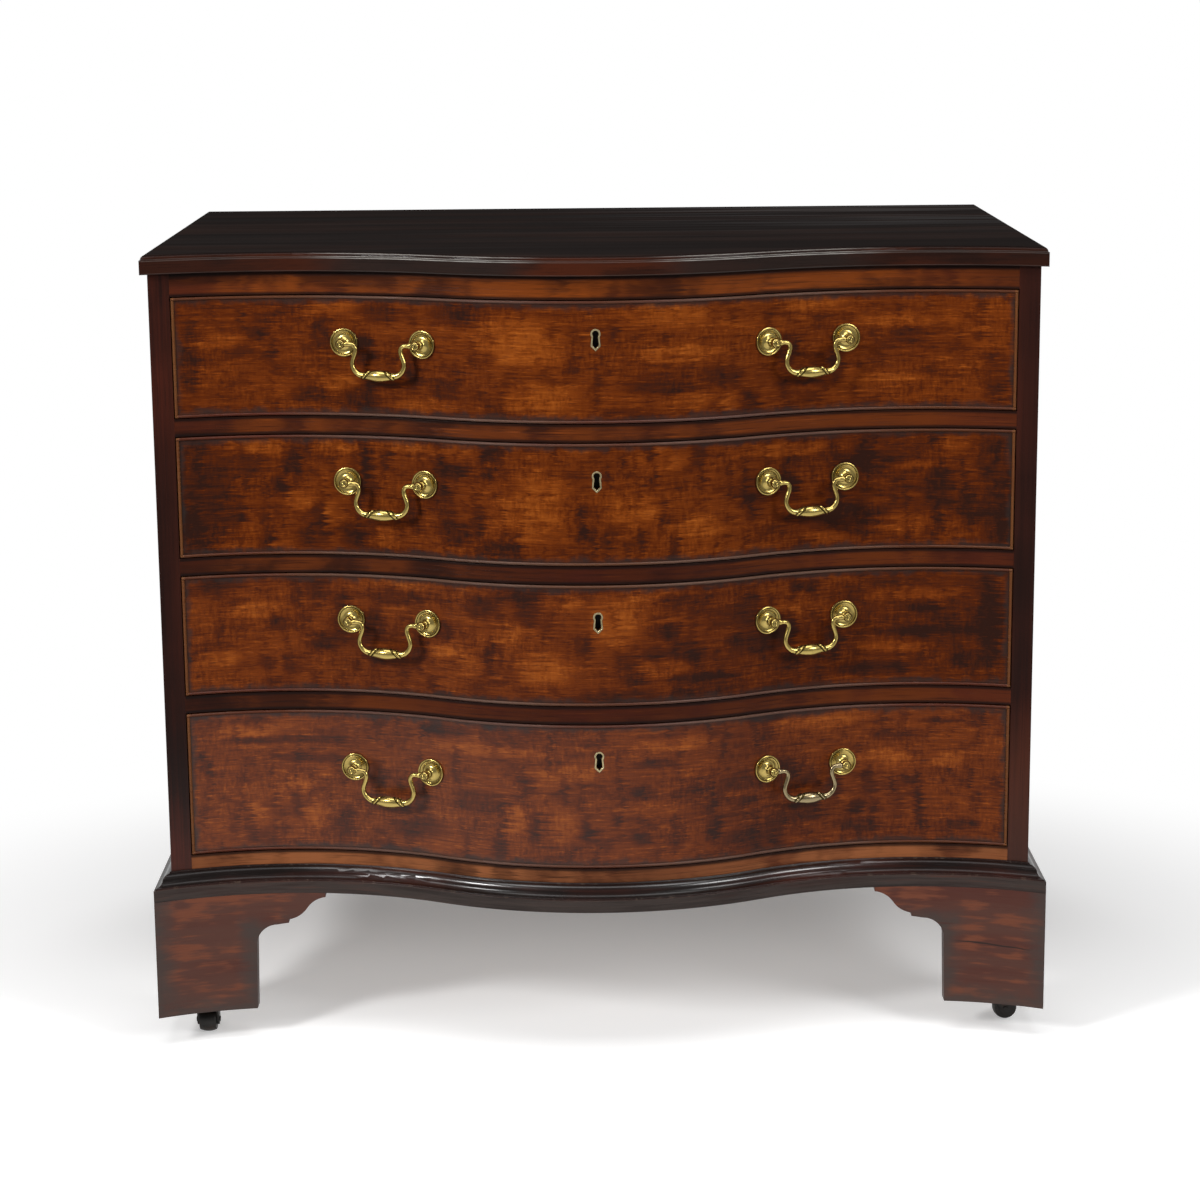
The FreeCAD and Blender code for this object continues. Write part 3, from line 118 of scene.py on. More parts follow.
class ChestSizes(bpy.types.PropertyGroup):
    """Sizes of the brassware"""

    inner_post: length("Inner post", "From the middle to the inner post of a handle", 0.186)
    outer_post: length("Outer post", "From the middle to the outer post of a handle", 0.272)
    grip_drop: length("Grip drop", "From the hinge line down to the middle of the grip", 0.0336)
    grip_radius: length("Grip radius", "Half the height of the grip", 0.0067)
    wire_radius: length("Wire radius", "Radius of the bail in its arms", 0.0027)
    crest_wire: length("Crest wire", "Radius of the bail at its crest", 0.0026)


# Shader expressions

class Value:
    """A shader socket that can stand in a Python expression."""

    def __init__(self, nodes, socket):
        self.nodes = nodes
        self.socket = socket

    def math(self, operation, first, second=0.0):
        return self.nodes.node("ShaderNodeMath", {"operation": operation}, {0: first, 1: second})

    def __add__(self, other):
        return self.math("ADD", self, other)

    def __sub__(self, other):
        return self.math("SUBTRACT", self, other)

    def __rsub__(self, other):
        return self.math("SUBTRACT", other, self)

    def __mul__(self, other):
        return self.math("MULTIPLY", self, other)

    def __abs__(self):
        return self.math("ABSOLUTE", self)

    __radd__ = __add__
    __rmul__ = __mul__

    def least(self, other):
        return self.math("MINIMUM", self, other)

    def most(self, other):
        return self.math("MAXIMUM", self, other)

    def swing(self, strength):
        """How far a noise lies above or below its middle, times a strength."""
        return (self - 0.5) * strength


class Nodes:
    """A node tree under construction."""

    def __init__(self, tree):
        self.tree = tree
        tree.nodes.clear()

    def node(self, kind, settings=None, sockets=None, out=0):
        """Add a node, set it up, then give its sockets values or links."""
        made = self.tree.nodes.new(kind)
        for name, setting in (settings or {}).items():
            if name == "stops":
                ramp = made.color_ramp
                while len(ramp.elements) < len(setting):
                    ramp.elements.new(1.0)
                for element, (place, tint) in zip(ramp.elements, setting):
                    element.position = place
                    element.color = (*tint, 1.0)
            else:
                setattr(made, name, setting)
        for name, given in (sockets or {}).items():
            if isinstance(given, Value):
                self.tree.links.new(given.socket, made.inputs[name])
            else:
                made.inputs[name].default_value = given
        return Value(self, made.outputs[out]) if len(made.outputs) else None


# Every noise: features to a metre along x, y and z, then detail, roughness and seed
NOISES = {
    "front_fibre": ((12, 0, 340), 3, 0.62, 0),
    "front_hair": ((40, 0, 1150), 2, 0.60, 1),
    "front_mottle": ((52, 0, 58), 3, 0.65, 2),
    "front_cloud": ((7, 0, 15), 2, 0.50, 3),
    "front_drip": ((78, 0, 17), 2, 0.50, 4),
    "front_pore": ((95, 0, 1500), 1, 0.50, 5),
    "front_rim": ((60, 0, 50), 3, 0.65, 6),
    "front_ripple": ((130, 0, 16), 2, 0.55, 7),
    "front_flash": ((26, 0, 150), 2, 0.55, 8),
    "front_dash": ((60, 0, 640), 2, 0.55, 9),
    "front_line": ((26, 0, 430), 2, 0.60, 10),
    "front_fleck": ((300, 0, 75), 3, 0.70, 11),
    "front_lively": ((13, 0, 26), 2, 0.50, 12),
    "carcass_fibre_x": ((5, 5, 330), 3, 0.60, 0),
    "carcass_fibre_z": ((330, 330, 5), 3, 0.60, 0),
    "carcass_fibre_top": ((5, 330, 5), 3, 0.60, 0),
    "carcass_pore_x": ((14, 14, 1500), 1, 0.50, 1),
    "carcass_pore_z": ((1500, 1500, 14), 1, 0.50, 1),
    "carcass_pore_top": ((14, 1500, 14), 1, 0.50, 1),
    "carcass_band_x": ((3, 3, 26), 3, 0.55, 2),
    "carcass_band_z": ((11, 11, 2.2), 3, 0.55, 2),
    "carcass_band_top": ((1.4, 17, 3), 3, 0.55, 2),
    "carcass_blot": ((9, 9, 9), 3, 0.60, 3),
    "rail_patch": ((21, 0, 16), 3, 0.60, 21),
    "rail_streak": ((14, 0, 420), 3, 0.62, 22),
    "top_streak": ((2.2, 60, 1), 2, 0.50, 31),
    "top_smudge": ((12, 0, 60), 3, 0.60, 33),
    "top_highlight": ((26, 0, 0), 2, 0.50, 37),
    "base_streak": ((9, 9, 160), 3, 0.60, 43),
    "base_chip": ((160, 160, 30), 2, 0.50, 47),
    "foot_haze": ((34, 34, 60), 3, 0.60, 51),
    "foot_streak": ((16, 16, 130), 3, 0.62, 53),
    "foot_patch": ((20, 20, 34), 2, 0.50, 55),
    "plain_fibre_x": ((6, 300, 300), 3, 0.60, 0),
    "plain_fibre_y": ((300, 6, 300), 3, 0.60, 0),
    "plain_fibre_z": ((260, 260, 5), 3, 0.60, 0),
    "plain_ring_x": ((0.8, 22, 22), 3, 0.55, 1),
    "plain_ring_y": ((22, 0.8, 22), 3, 0.55, 1),
    "plain_ring_z": ((22, 22, 0.8), 3, 0.55, 1),
    "plain_age": ((4, 4, 4), 3, 0.60, 2),
    "brass_cloud": ((120, 120, 120), 3, 0.60, 0),
    "brass_speck": ((900, 900, 900), 2, 0.50, 0),
    "lock_cloud": ((200, 200, 200), 3, 0.60, 0),
    "castor_pit": ((260, 260, 260), 4, 0.65, 0),
    "castor_rust": ((60, 60, 60), 3, 0.60, 0),
}
# How a seed moves a noise along each axis
SEED_STEPS = (1.0, 1.7, 0.6)
# How much the normal turns on an arris, as the cosine where wear starts and where it is full
ARRIS_TURN = (0.99, 0.80)
BEVEL_SAMPLES = 6


class Finish(Nodes):
    """A material under construction, with a pattern on Object coordinates."""

    def __init__(self, name):
        self.material = bpy.data.materials.new(name)
        self.material.use_nodes = True
        super().__init__(self.material.node_tree)
        self.place = self.node("ShaderNodeTexCoord", out="Object")
        parts = {"Vector": self.place}
        self.x, self.y, self.z = (self.node("ShaderNodeSeparateXYZ", {}, parts, axis) for axis in range(3))

    def point(self, x, y, z):
        """A point to read a pattern at."""
        return self.node("ShaderNodeCombineXYZ", {}, {0: x, 1: y, 2: z})

    def noise(self, name, shift=0.0, at=None):
        """A noise of the table, between 0 and 1, with its seed moved on."""
        stretch, detail, rough, seed = NOISES[name]
        start = [step * (seed + shift) for step in SEED_STEPS]
        sockets = {"Vector": at or self.place, "Scale": stretch, "Location": start}
        where = self.node("ShaderNodeMapping", {}, sockets)
        sockets = {"Vector": where, "Scale": 1.0, "Detail": detail, "Roughness": rough}
        return self.node("ShaderNodeTexNoise", {}, sockets)

    def ramp(self, value, low, high, start=0.0, stop=1.0):
        """A smooth change from start to stop as the value goes from low to high."""
        sockets = {"Value": value, "From Min": low, "From Max": high, "To Min": start, "To Max": stop}
        return self.node("ShaderNodeMapRange", {"interpolation_type": "SMOOTHSTEP"}, sockets)

    def spot(self, at, x, z, wide, tall):
        """A soft patch on a front, 1 in its middle and 0 at its edge."""
        sockets = {"Vector": at, "Scale": (1 / wide, 0, 1 / tall), "Location": (-x / wide, 0, -z / tall)}
        where = self.node("ShaderNodeMapping", {}, sockets)
        return self.node("ShaderNodeTexGradient", {"gradient_type": "SPHERICAL"}, {"Vector": where}, "Fac")

    def patches(self, at, places, edge, middle):
        """Soft patches taken together, from the strength of their edge to that of their middle."""
        spots = [self.spot(at, *place) for place in places]
        return self.ramp(functools.reduce(Value.most, spots), edge, middle)

    def mix(self, share, first, second):
        """A colour between two colours, by the node's colour sockets."""
        first, second = (given if isinstance(given, Value) else (*given, 1.0) for given in (first, second))
        return self.node("ShaderNodeMix", {"data_type": "RGBA"}, {0: share, 6: first, 7: second}, 2)

    def tint(self, value, *stops):
        """A colour by places along the value and their colours."""
        return self.node("ShaderNodeValToRGB", {"stops": stops}, {"Fac": value})

    def soft_edges(self, radius):
        """The normal with every arris rounded a little."""
        return self.node("ShaderNodeBevel", {"samples": BEVEL_SAMPLES}, {"Radius": radius})

    def edge_share(self, radius):
        """Near 1 on an arris and 0 on the open face."""
        flat = self.node("ShaderNodeNewGeometry", {}, {}, "Normal")
        sockets = {0: self.soft_edges(radius), 1: flat}
        return self.ramp(self.node("ShaderNodeVectorMath", {"operation": "DOT_PRODUCT"}, sockets, "Value"),
                         *ARRIS_TURN)

    def polish(self, base, rough, height, depth, arris, **others):
        """Close the material with a polished surface: depth of relief and rounding of arrises in metres."""
        sockets = {"Height": height, "Distance": depth, "Strength": 1.0, "Normal": self.soft_edges(arris)}
        normal = self.node("ShaderNodeBump", {}, sockets)
        sockets = {"Base Color": base, "Roughness": rough, "Normal": normal}
        sockets.update({name.replace("_", " "): given for name, given in others.items()})
        shader = self.node("ShaderNodeBsdfPrincipled", {}, sockets)
        self.node("ShaderNodeOutputMaterial", {}, {"Surface": shader})
        return self.material


# Woods

# Ranges for a ramp hold the two levels between which it changes, then its strengths there if not 0 and 1

# Where the figure of each drawer front is light and dark: the distance from the middle in
# millimetres, the share of the height, then half the width and half the height of the patch in millimetres
LIGHT_PATCHES = {
    1: [(-283, 0.93, 34, 16), (-415, 0.63, 46, 13), (-183, 0.10, 58, 14), (-278, 0.28, 36, 13),
        (-91, 0.66, 80, 38), (-60, 0.20, 60, 26), (75, 0.88, 70, 22), (104, 0.16, 36, 13),
        (150, 0.15, 18, 14), (233, 0.92, 50, 14), (337, 0.75, 80, 11), (90, 0.55, 70, 14),
        (320, 0.27, 60, 7)],
    2: [(-363, 0.90, 50, 12), (-283, 0.90, 40, 12), (-327, 0.45, 24, 16), (-289, 0.34, 16, 20),
        (-233, 0.20, 22, 26), (-150, 0.90, 22, 18), (-209, 0.92, 40, 10), (-77, 0.35, 60, 36),
        (-62, 0.62, 50, 26), (69, 0.85, 44, 18), (212, 0.87, 60, 12), (40, 0.45, 50, 24),
        (351, 0.70, 44, 6), (252, 0.12, 36, 11), (337, 0.22, 44, 20), (392, 0.88, 22, 14),
        (110, 0.28, 44, 18)],
    3: [(-372, 0.70, 50, 14), (-420, 0.30, 40, 14), (-209, 0.93, 44, 11), (-139, 0.30, 22, 24),
        (-171, 0.40, 26, 12), (-97, 0.60, 24, 30), (-42, 0.85, 36, 18), (-60, 0.30, 50, 26),
        (19, 0.70, 40, 40), (55, 0.92, 46, 9), (72, 0.30, 46, 18), (223, 0.70, 44, 13), (351, 0.78, 80, 12),
        (330, 0.33, 60, 9)],
    4: [(-383, 0.24, 11, 26), (-312, 0.26, 28, 20), (-333, 0.48, 28, 14), (-390, 0.86, 50, 12),
        (-120, 0.80, 110, 11), (-215, 0.26, 16, 6), (-40, 0.66, 70, 14), (-90, 0.30, 14, 30),
        (-40, 0.30, 22, 26), (243, 0.90, 70, 15), (90, 0.85, 60, 12), (60, 0.40, 50, 12),
        (320, 0.62, 50, 12), (390, 0.60, 26, 12)],
}
DARK_PATCHES = {
    1: [(-295, 0.67, 18, 24), (-368, 0.68, 15, 11), (-147, 0.87, 48, 20), (-230, 0.86, 36, 16),
        (-312, 0.17, 30, 16), (-255, 0.15, 30, 20), (-159, 0.24, 26, 14), (-24, 0.48, 10, 22),
        (-44, 0.75, 9, 14), (20, 0.74, 6, 20), (69, 0.30, 52, 17), (136, 0.37, 34, 17), (40, 0.06, 48, 12),
        (166, 0.12, 20, 20), (343, 0.62, 30, 13), (420, 0.86, 8, 12), (418, 0.62, 10, 10),
        (-120, 0.52, 26, 10), (-440, 0.50, 16, 60), (436, 0.30, 22, 40)],
    2: [(-436, 0.50, 60, 100), (-330, 0.80, 13, 22), (-295, 0.82, 22, 14), (-250, 0.80, 13, 28),
        (-348, 0.57, 15, 16), (-394, 0.34, 12, 24), (-307, 0.27, 11, 28), (-312, 0.14, 28, 18),
        (-268, 0.17, 26, 22), (-159, 0.78, 26, 22), (-168, 0.50, 22, 28), (-153, 0.25, 28, 22),
        (-113, 0.12, 22, 18), (-94, 0.20, 14, 24), (-18, 0.35, 8, 30), (-112, 0.90, 17, 14),
        (55, 0.92, 7, 18), (110, 0.88, 14, 22), (8, 0.18, 8, 20), (47, 0.18, 8, 22), (170, 0.55, 30, 30),
        (301, 0.75, 50, 20), (278, 0.27, 60, 28), (378, 0.50, 24, 44), (412, 0.35, 22, 34),
        (440, 0.50, 30, 100), (84, 0.18, 9, 22)],
    3: [(-415, 0.90, 42, 14), (-333, 0.85, 11, 24), (-309, 0.86, 24, 18), (-351, 0.57, 18, 12),
        (-333, 0.24, 28, 17), (-368, 0.25, 16, 12), (-360, 0.10, 13, 8), (-307, 0.42, 24, 14),
        (-283, 0.76, 18, 14), (-224, 0.82, 46, 14), (-171, 0.58, 24, 17), (-130, 0.80, 26, 20),
        (-118, 0.40, 10, 28), (-77, 0.88, 28, 17), (-80, 0.72, 22, 15), (-18, 0.50, 13, 17),
        (87, 0.85, 30, 13), (78, 0.60, 15, 16), (95, 0.43, 34, 20), (60, 0.42, 18, 12), (40, 0.22, 20, 12),
        (25, 0.06, 70, 12), (113, 0.20, 60, 9), (119, 0.09, 46, 12), (180, 0.45, 50, 22),
        (165, 0.70, 22, 28), (232, 0.88, 22, 10), (366, 0.46, 100, 9), (303, 0.15, 60, 12),
        (419, 0.22, 38, 16), (360, 0.66, 26, 8), (435, 0.60, 20, 60)],
    4: [(-342, 0.79, 110, 7), (-380, 0.92, 24, 11), (-318, 0.66, 70, 8), (-392, 0.16, 11, 22),
        (-410, 0.20, 8, 24), (-339, 0.36, 8, 26), (-289, 0.17, 24, 28), (-165, 0.91, 46, 8),
        (-203, 0.20, 46, 20), (-130, 0.42, 46, 20), (-15, 0.27, 8, 22), (-71, 0.25, 10, 28),
        (-110, 0.14, 12, 24), (62, 0.72, 34, 8), (50, 0.52, 24, 10), (104, 0.52, 26, 6), (44, 0.20, 18, 12),
        (126, 0.22, 15, 22), (164, 0.13, 44, 20), (195, 0.18, 20, 28), (159, 0.55, 24, 18),
        (164, 0.40, 14, 10), (234, 0.28, 26, 17), (288, 0.28, 15, 15), (303, 0.45, 12, 28),
        (297, 0.14, 34, 12), (361, 0.25, 7, 38), (351, 0.46, 18, 8), (333, 0.78, 46, 10),
        (421, 0.30, 8, 22), (409, 0.14, 26, 12), (381, 0.88, 36, 5)],
}
# Broad changes of tone over a front: place, half sizes as above, then the change
BROAD_TONES = {
    1: [(-390, 0.5, 160, 110, -0.08), (330, 0.5, 170, 110, -0.05)],
    2: [(330, 0.5, 220, 120, -0.20), (-400, 0.4, 120, 110, -0.05)],
    3: [(150, 0.4, 140, 110, -0.15), (370, 0.5, 200, 120, -0.21)],
    4: [(-300, 0.5, 240, 120, 0.08), (170, 0.4, 110, 90, -0.05)],
}
# How strongly each front shows upright drips, and how much of the pale floor its polish mirrors
DRIPS = {1: 0.09, 2: 0.16, 3: 0.10, 4: 0.17}
MIRROR = {1: 0.03, 2: 0.03, 3: 0.04, 4: 0.11}
# The hazy coat of the lower fronts, and from where to where it grows along them, in metres
HAZE = {3: 0.08, 4: 0.36}
HAZE_REACH = (0.22, -0.06)
# Painted shadows beside and under the bails: place from the middle, below the hinge line, then half sizes in
# millimetres
HANDLE_SHADOWS = [(-249, 8, 17, 26), (-198, 30, 13, 30), (-232, 44, 34, 9), (209, 8, 17, 26), (262, 30, 13, 30),
               (226, 44, 34, 9)]
HANDLE_SHADOW_EDGE = (0.0, 0.7)

# How far the fibres, hairs and ripples draw the figure out of its place, in metres
FIBRE_DRAW = 0.030
HAIR_DRAW = 0.012
RIPPLE_DRAW = 0.005
FLECK_DRAW = 0.005

# The tone of the fronts: their ground, the sway of their noises, and what patches and painted handle shadows
# change
FRONT_SEED = 3.7
FRONT_GROUND = 0.43
CLOUD_SWAY = 0.28
FIBRE_SWAY = 0.42
HAIR_SWAY = 0.26
LIGHT_CHANGE = 0.18
DARK_CHANGE = -0.19
HANDLE_SHADOW_CHANGE = -0.24
PATCH_EDGE = (0.05, 0.62)
# The flecks, strongest where the figure is lively
FLECK_STRENGTH = (0.36, 0.62, 0.14, 0.62)
# Marks: their noise, from and to which level of it they come up, and their change of the tone
DRAWN_MARKS = (("front_mottle", 0.48, 0.64, -0.13), ("front_flash", 0.56, 0.72, 0.12))
STRAIGHT_MARKS = (("front_dash", 0.57, 0.72, 0.16), ("front_line", 0.57, 0.70, -0.13))
DRIP_LEVELS = (0.54, 0.66)
# Tones at which the four colours of the figure stand, from dark to gold
FLAME_TONES = (0.05, 0.32, 0.52, 0.95)
FRONT_PORES = (0.62, 0.74)
PORE_DARKNESS = 0.45
# The dirt along a front's edges: how far in it ends and is full, and how its line wavers, in metres
RIM_REACH = (0.0105, 0.002)
RIM_WAVER = 0.020
RIM_FRAY = 0.004
RIM_DIRT = 0.8
# The roughness of the fronts, what fibres, rim and pores add to it, and the relief of fibres and hairs
FRONT_ROUGHNESS = 0.34
FIBRE_ROUGHNESS = 0.12
RIM_ROUGHNESS = 0.16
PORE_ROUGHNESS = 0.10
FIBRE_RELIEF = 0.5
HAIR_RELIEF = 0.3


def figured_front(number, tones):
    """Figured mahogany for one drawer front: fibres, mottle, pores, old dirt along its edges, painted handle
    shadows.
    """
    wood = Finish(f"drawer_{number}_figured_mahogany")
    low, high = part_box(f"drawer_{number}_front")
    seed = FRONT_SEED * number
    fibre = wood.noise("front_fibre", seed)
    hair = wood.noise("front_hair", seed)
    ripple = wood.noise("front_ripple", seed)
    drawn = wood.point(
        wood.x + fibre.swing(FIBRE_DRAW) + hair.swing(HAIR_DRAW), 0.0, wood.z + ripple.swing(RIPPLE_DRAW))
    cloud = wood.noise("front_cloud", seed, drawn)
    lively = wood.noise("front_lively", seed, drawn)
    fleck = wood.noise("front_fleck", seed, wood.point(wood.x + hair.swing(FLECK_DRAW), 0.0, wood.z))

    def placed(x, up, wide, tall):
        return x * MM, low.z + (high.z - low.z) * up, wide * MM, tall * MM

    def patches(places):
        return wood.patches(drawn, [placed(*patch) for patch in places], *PATCH_EDGE)

    tone = FRONT_GROUND + cloud.swing(CLOUD_SWAY) + fibre.swing(FIBRE_SWAY) + hair.swing(HAIR_SWAY)
    tone = tone + fleck.swing(wood.ramp(lively, *FLECK_STRENGTH))
    for name, start, stop, change in (*DRAWN_MARKS, ("front_drip", *DRIP_LEVELS, -DRIPS[number])):
        tone = tone + wood.ramp(wood.noise(name, seed, drawn), start, stop) * change
    for name, start, stop, change in STRAIGHT_MARKS:
        tone = tone + wood.ramp(wood.noise(name, seed), start, stop) * change
    tone = tone + patches(LIGHT_PATCHES[number]) * LIGHT_CHANGE + patches(DARK_PATCHES[number]) * DARK_CHANGE
    for *patch, change in BROAD_TONES[number]:
        tone = tone + wood.spot(drawn, *placed(*patch)) * change
    # Painted shadows of the bails and posts, laid into the tone behind each handle
    hinge = hinge_height(number)
    behind = [(x * MM, hinge - down * MM, wide * MM, tall * MM) for x, down, wide, tall in HANDLE_SHADOWS]
    tone = tone + wood.patches(drawn, behind, *HANDLE_SHADOW_EDGE) * HANDLE_SHADOW_CHANGE
    flames = (tones.flame_dark, tones.flame_red, tones.flame_brown, tones.flame_gold)
    base = wood.tint(tone, *zip(FLAME_TONES, flames))
    pores = wood.ramp(wood.noise("front_pore", seed), *FRONT_PORES)
    base = wood.mix(pores * PORE_DARKNESS, base, tones.flame_dark)
    ends = (wood.x - low.x).least(high.x - wood.x)
    levels = (wood.z - low.z).least(high.z - wood.z)
    inset = ends.least(levels) + wood.noise("front_rim", seed).swing(RIM_WAVER) + fibre.swing(RIM_FRAY)
    rim = wood.ramp(inset, *RIM_REACH)
    base = wood.mix(rim * RIM_DIRT, base, tones.dirt)
    rough = FRONT_ROUGHNESS + fibre.swing(FIBRE_ROUGHNESS) + rim * RIM_ROUGHNESS + pores * PORE_ROUGHNESS
    height = fibre * FIBRE_RELIEF + hair * HAIR_RELIEF - pores
    coat = wood.ramp(wood.x, *HAZE_REACH) * HAZE[number] if number in HAZE else 0.0
    return wood.polish(base, rough, height, depth=0.00008, arris=0.0005, Specular_IOR_Level=MIRROR[number],
                       Coat_Weight=coat, Coat_Roughness=0.35)


# Plain mahogany: the levels of its bands, tones and pores, and how bands, fibres and blots sway its tone
CARCASS_BANDS = (0.3, 0.7)
CARCASS_TONES = (0.0, 0.75)
CARCASS_PORES = (0.60, 0.72)
BAND_SWAY = 0.55
GRAIN_SWAY = 0.5
BLOT_SWAY = 0.5
CARCASS_PORE_DARKNESS = 0.5
GRAIN_ROUGHNESS = 0.10
BLOT_ROUGHNESS = 0.12
# The rounding of its arrises, and the radius and strength of their wear
ARRIS_RADIUS = 0.0009
WORN_RADIUS = 0.0012
WORN_STRENGTH = 0.35


def carcass_wood(name, along, tones, dark, red, shade, rough, seed, mirror, warmth, gloss=None,
                 arris=ARRIS_RADIUS, **others):
    """Plain mahogany with its grain along one axis, lighter on its worn arrises."""
    wood = Finish(name)
    at = top_grain(wood) if along == "top" else None
    fibre = wood.noise("carcass_fibre_" + along, seed, at)
    pore = wood.noise("carcass_pore_" + along, seed, at)
    band = wood.noise("carcass_band_" + along, seed, at)
    blot = wood.noise("carcass_blot", seed, at)
    bands = wood.ramp(band, *CARCASS_BANDS) * BAND_SWAY
    tone = bands + fibre.swing(GRAIN_SWAY) + blot.swing(BLOT_SWAY) + warmth
    base = wood.mix(wood.ramp(tone, *CARCASS_TONES), dark, red)
    base = shade(wood, base, tone, tones)
    base = wood.mix(wood.edge_share(WORN_RADIUS) * WORN_STRENGTH, base, red)
    pores = wood.ramp(pore, *CARCASS_PORES)
    base = wood.mix(pores * CARCASS_PORE_DARKNESS, base, dark)
    sheen = rough + fibre.swing(GRAIN_ROUGHNESS) + blot.swing(BLOT_ROUGHNESS)
    height = fibre * FIBRE_RELIEF - pores
    if gloss:
        others["Coat_Weight"] = gloss(wood)
    return wood.polish(base, sheen, height, depth=0.00007, arris=arris, Specular_IOR_Level=mirror, **others)


# The sides in metres: how far back their front edges end, and heights of dark, warm and hazy stretches
FRONT_EDGE = (0.004, 0.016)
RIGHT_HAND = (-0.1, 0.1)
DARK_FROM = (0.32, 0.42, 0.0, 0.6)
DARK_TO = (0.74, 0.66)
WARM_FOOT = (0.40, 0.30)
HAZY_FOOT = (0.40, 0.20, 0.0, 0.25)
# How much of the sides' own colour shows by the tone of the grain, at their foot and behind their edges
FOOT_BY_TONE = (-0.4, 0.6, 0.3, 0.9)
PANEL_BY_TONE = (-0.5, 0.6, 0.1, 0.75)


def side_shade(wood, base, tone, tones):
    """The sides are redder than their front edges, dark half way up, the right one warm below."""
    panel = wood.ramp(wood.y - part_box("left_side")[0].y, *FRONT_EDGE)
    right = wood.ramp(wood.x, *RIGHT_HAND)
    dark = wood.ramp(wood.z, *DARK_FROM) * wood.ramp(wood.z, *DARK_TO).most(right) * (1 - panel)
    base = wood.mix(dark, base, tones.stile_dark)
    low = wood.ramp(wood.z, *WARM_FOOT) * right * (1 - panel)
    base = wood.mix(low * wood.ramp(tone, *FOOT_BY_TONE), base, tones.side)
    return wood.mix(panel * wood.ramp(tone, *PANEL_BY_TONE), base, tones.side)


def side_gloss(wood):
    """A hazy coat towards the foot of the sides."""
    return wood.ramp(wood.z, *HAZY_FOOT)


# The rails by the share of the height from the lowest to the highest, and along their length in metres
RAIL_MARGIN = 0.02
LOWEST_RAIL = 0.04
HIGHEST_RAIL = 0.97
ABOVE_LOWEST = (0.10, 0.20)
MIDDLE_RAILS_FROM = (0.15, 0.25)
MIDDLE_RAILS_TO = (0.75, 0.60)
RAIL_ASIDE = (0.04, 0.28, 0.0, 0.4)
LEFT_END = (-0.37, -0.44, 0.0, 0.8)
RIGHT_END = (0.34, 0.44, 0.0, 0.6)
# The lowest rail: how much of the darker ends it shows, and its dull middle by place and reach in metres
LOWEST_ENDS = 0.35
LOWEST_MIDDLE = 0.05
LOWEST_MIDDLE_REACH = 0.17
LOWEST_DULLNESS = 0.55
# Warm patches, drawn out by streaks in metres and swayed by the tone of the grain
RAIL_STREAK_DRAW = 0.035
RAIL_TONE = 0.3
RAIL_TONE_SWAY = 0.25
RAIL_PATCHES = (0.34, 0.62, 0.22, 0.95)
# Flecks, how much lighter than the top rail they are and how they come up by height, and dark streaks
RAIL_FLECKS = (0.56, 0.74, 0.0, 0.45)
FLECK_LIGHTNESS = 1.9
FLECKS_BY_HEIGHT = (0.45, 0.80, 0.25, 1.0)
RAIL_DARK_STREAKS = (0.44, 0.28, 0.0, 0.5)
# Painted shade under the overhanging top and in the gaps where rails and drawers meet, in metres
PAINTED_SHADE_UNDER_TOP = (0.0075, 0.0025, 0.0, 0.9)
PAINTED_SHADE_BESIDE_DRAWER = (0.0055, 0.0025, 0.0, 0.85)


def rail_shade(wood, base, tone, tones):
    """Warm patches along the rails, each rail with its own tone, and painted shade under the top and where
    they meet the drawers.
    """
    boxes = [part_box(f"drawer_{number}_front") for number in DRAWERS]
    foot = boxes[-1][0].z - RAIL_MARGIN
    span = boxes[0][1].z + RAIL_MARGIN - foot
    shares = [((upper[0].z + lower[1].z) / 2 - foot) / span for upper, lower in zip(boxes, boxes[1:])]
    half = [(one + two) / 2 for one, two in zip(tones.rail_top, tones.rail_middle)]
    height = (wood.z - foot) * (1 / span)
    warm = wood.tint(height, (LOWEST_RAIL, tones.rail_low), (shares[2], tones.rail_middle),
                     (shares[1], tones.rail_middle), (shares[0], half), (HIGHEST_RAIL, tones.rail_top))
    between = wood.ramp(height, *MIDDLE_RAILS_FROM) * wood.ramp(height, *MIDDLE_RAILS_TO)
    warm = wood.mix(wood.ramp(abs(wood.x), *RAIL_ASIDE) * between, warm, tones.rail_top)
    streak = wood.noise("rail_streak")
    drawn = wood.point(wood.x + streak.swing(RAIL_STREAK_DRAW), 0.0, wood.z)
    patch = wood.noise("rail_patch", at=drawn)
    share = wood.ramp(patch + (tone - RAIL_TONE) * RAIL_TONE_SWAY, *RAIL_PATCHES)
    upper = wood.ramp(height, *ABOVE_LOWEST)
    ends = wood.ramp(wood.x, *LEFT_END) + wood.ramp(wood.x, *RIGHT_END)
    dull = wood.spot(wood.place, LOWEST_MIDDLE, foot, LOWEST_MIDDLE_REACH, 1.0) * LOWEST_DULLNESS
    share = share * (1 - ends * (LOWEST_ENDS + upper * (1 - LOWEST_ENDS))) * (1 - dull * (1 - upper))
    base = wood.mix(share, base, warm)
    light = [min(1.0, part * FLECK_LIGHTNESS) for part in tones.rail_top]
    flecks = wood.ramp(streak, *RAIL_FLECKS) * share * wood.ramp(height, *FLECKS_BY_HEIGHT)
    base = wood.mix(flecks, base, light)
    base = wood.mix(wood.ramp(streak, *RAIL_DARK_STREAKS), base, tones.stile_dark)
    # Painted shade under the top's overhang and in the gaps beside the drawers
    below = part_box("top_board")[0].z - wood.z
    base = wood.mix(wood.ramp(below, *PAINTED_SHADE_UNDER_TOP), base, tones.top_dark)
    gap = functools.reduce(Value.least, [abs(wood.z - edge.z) for box in boxes for edge in box])
    return wood.mix(wood.ramp(gap, *PAINTED_SHADE_BESIDE_DRAWER), base, tones.top_dark)


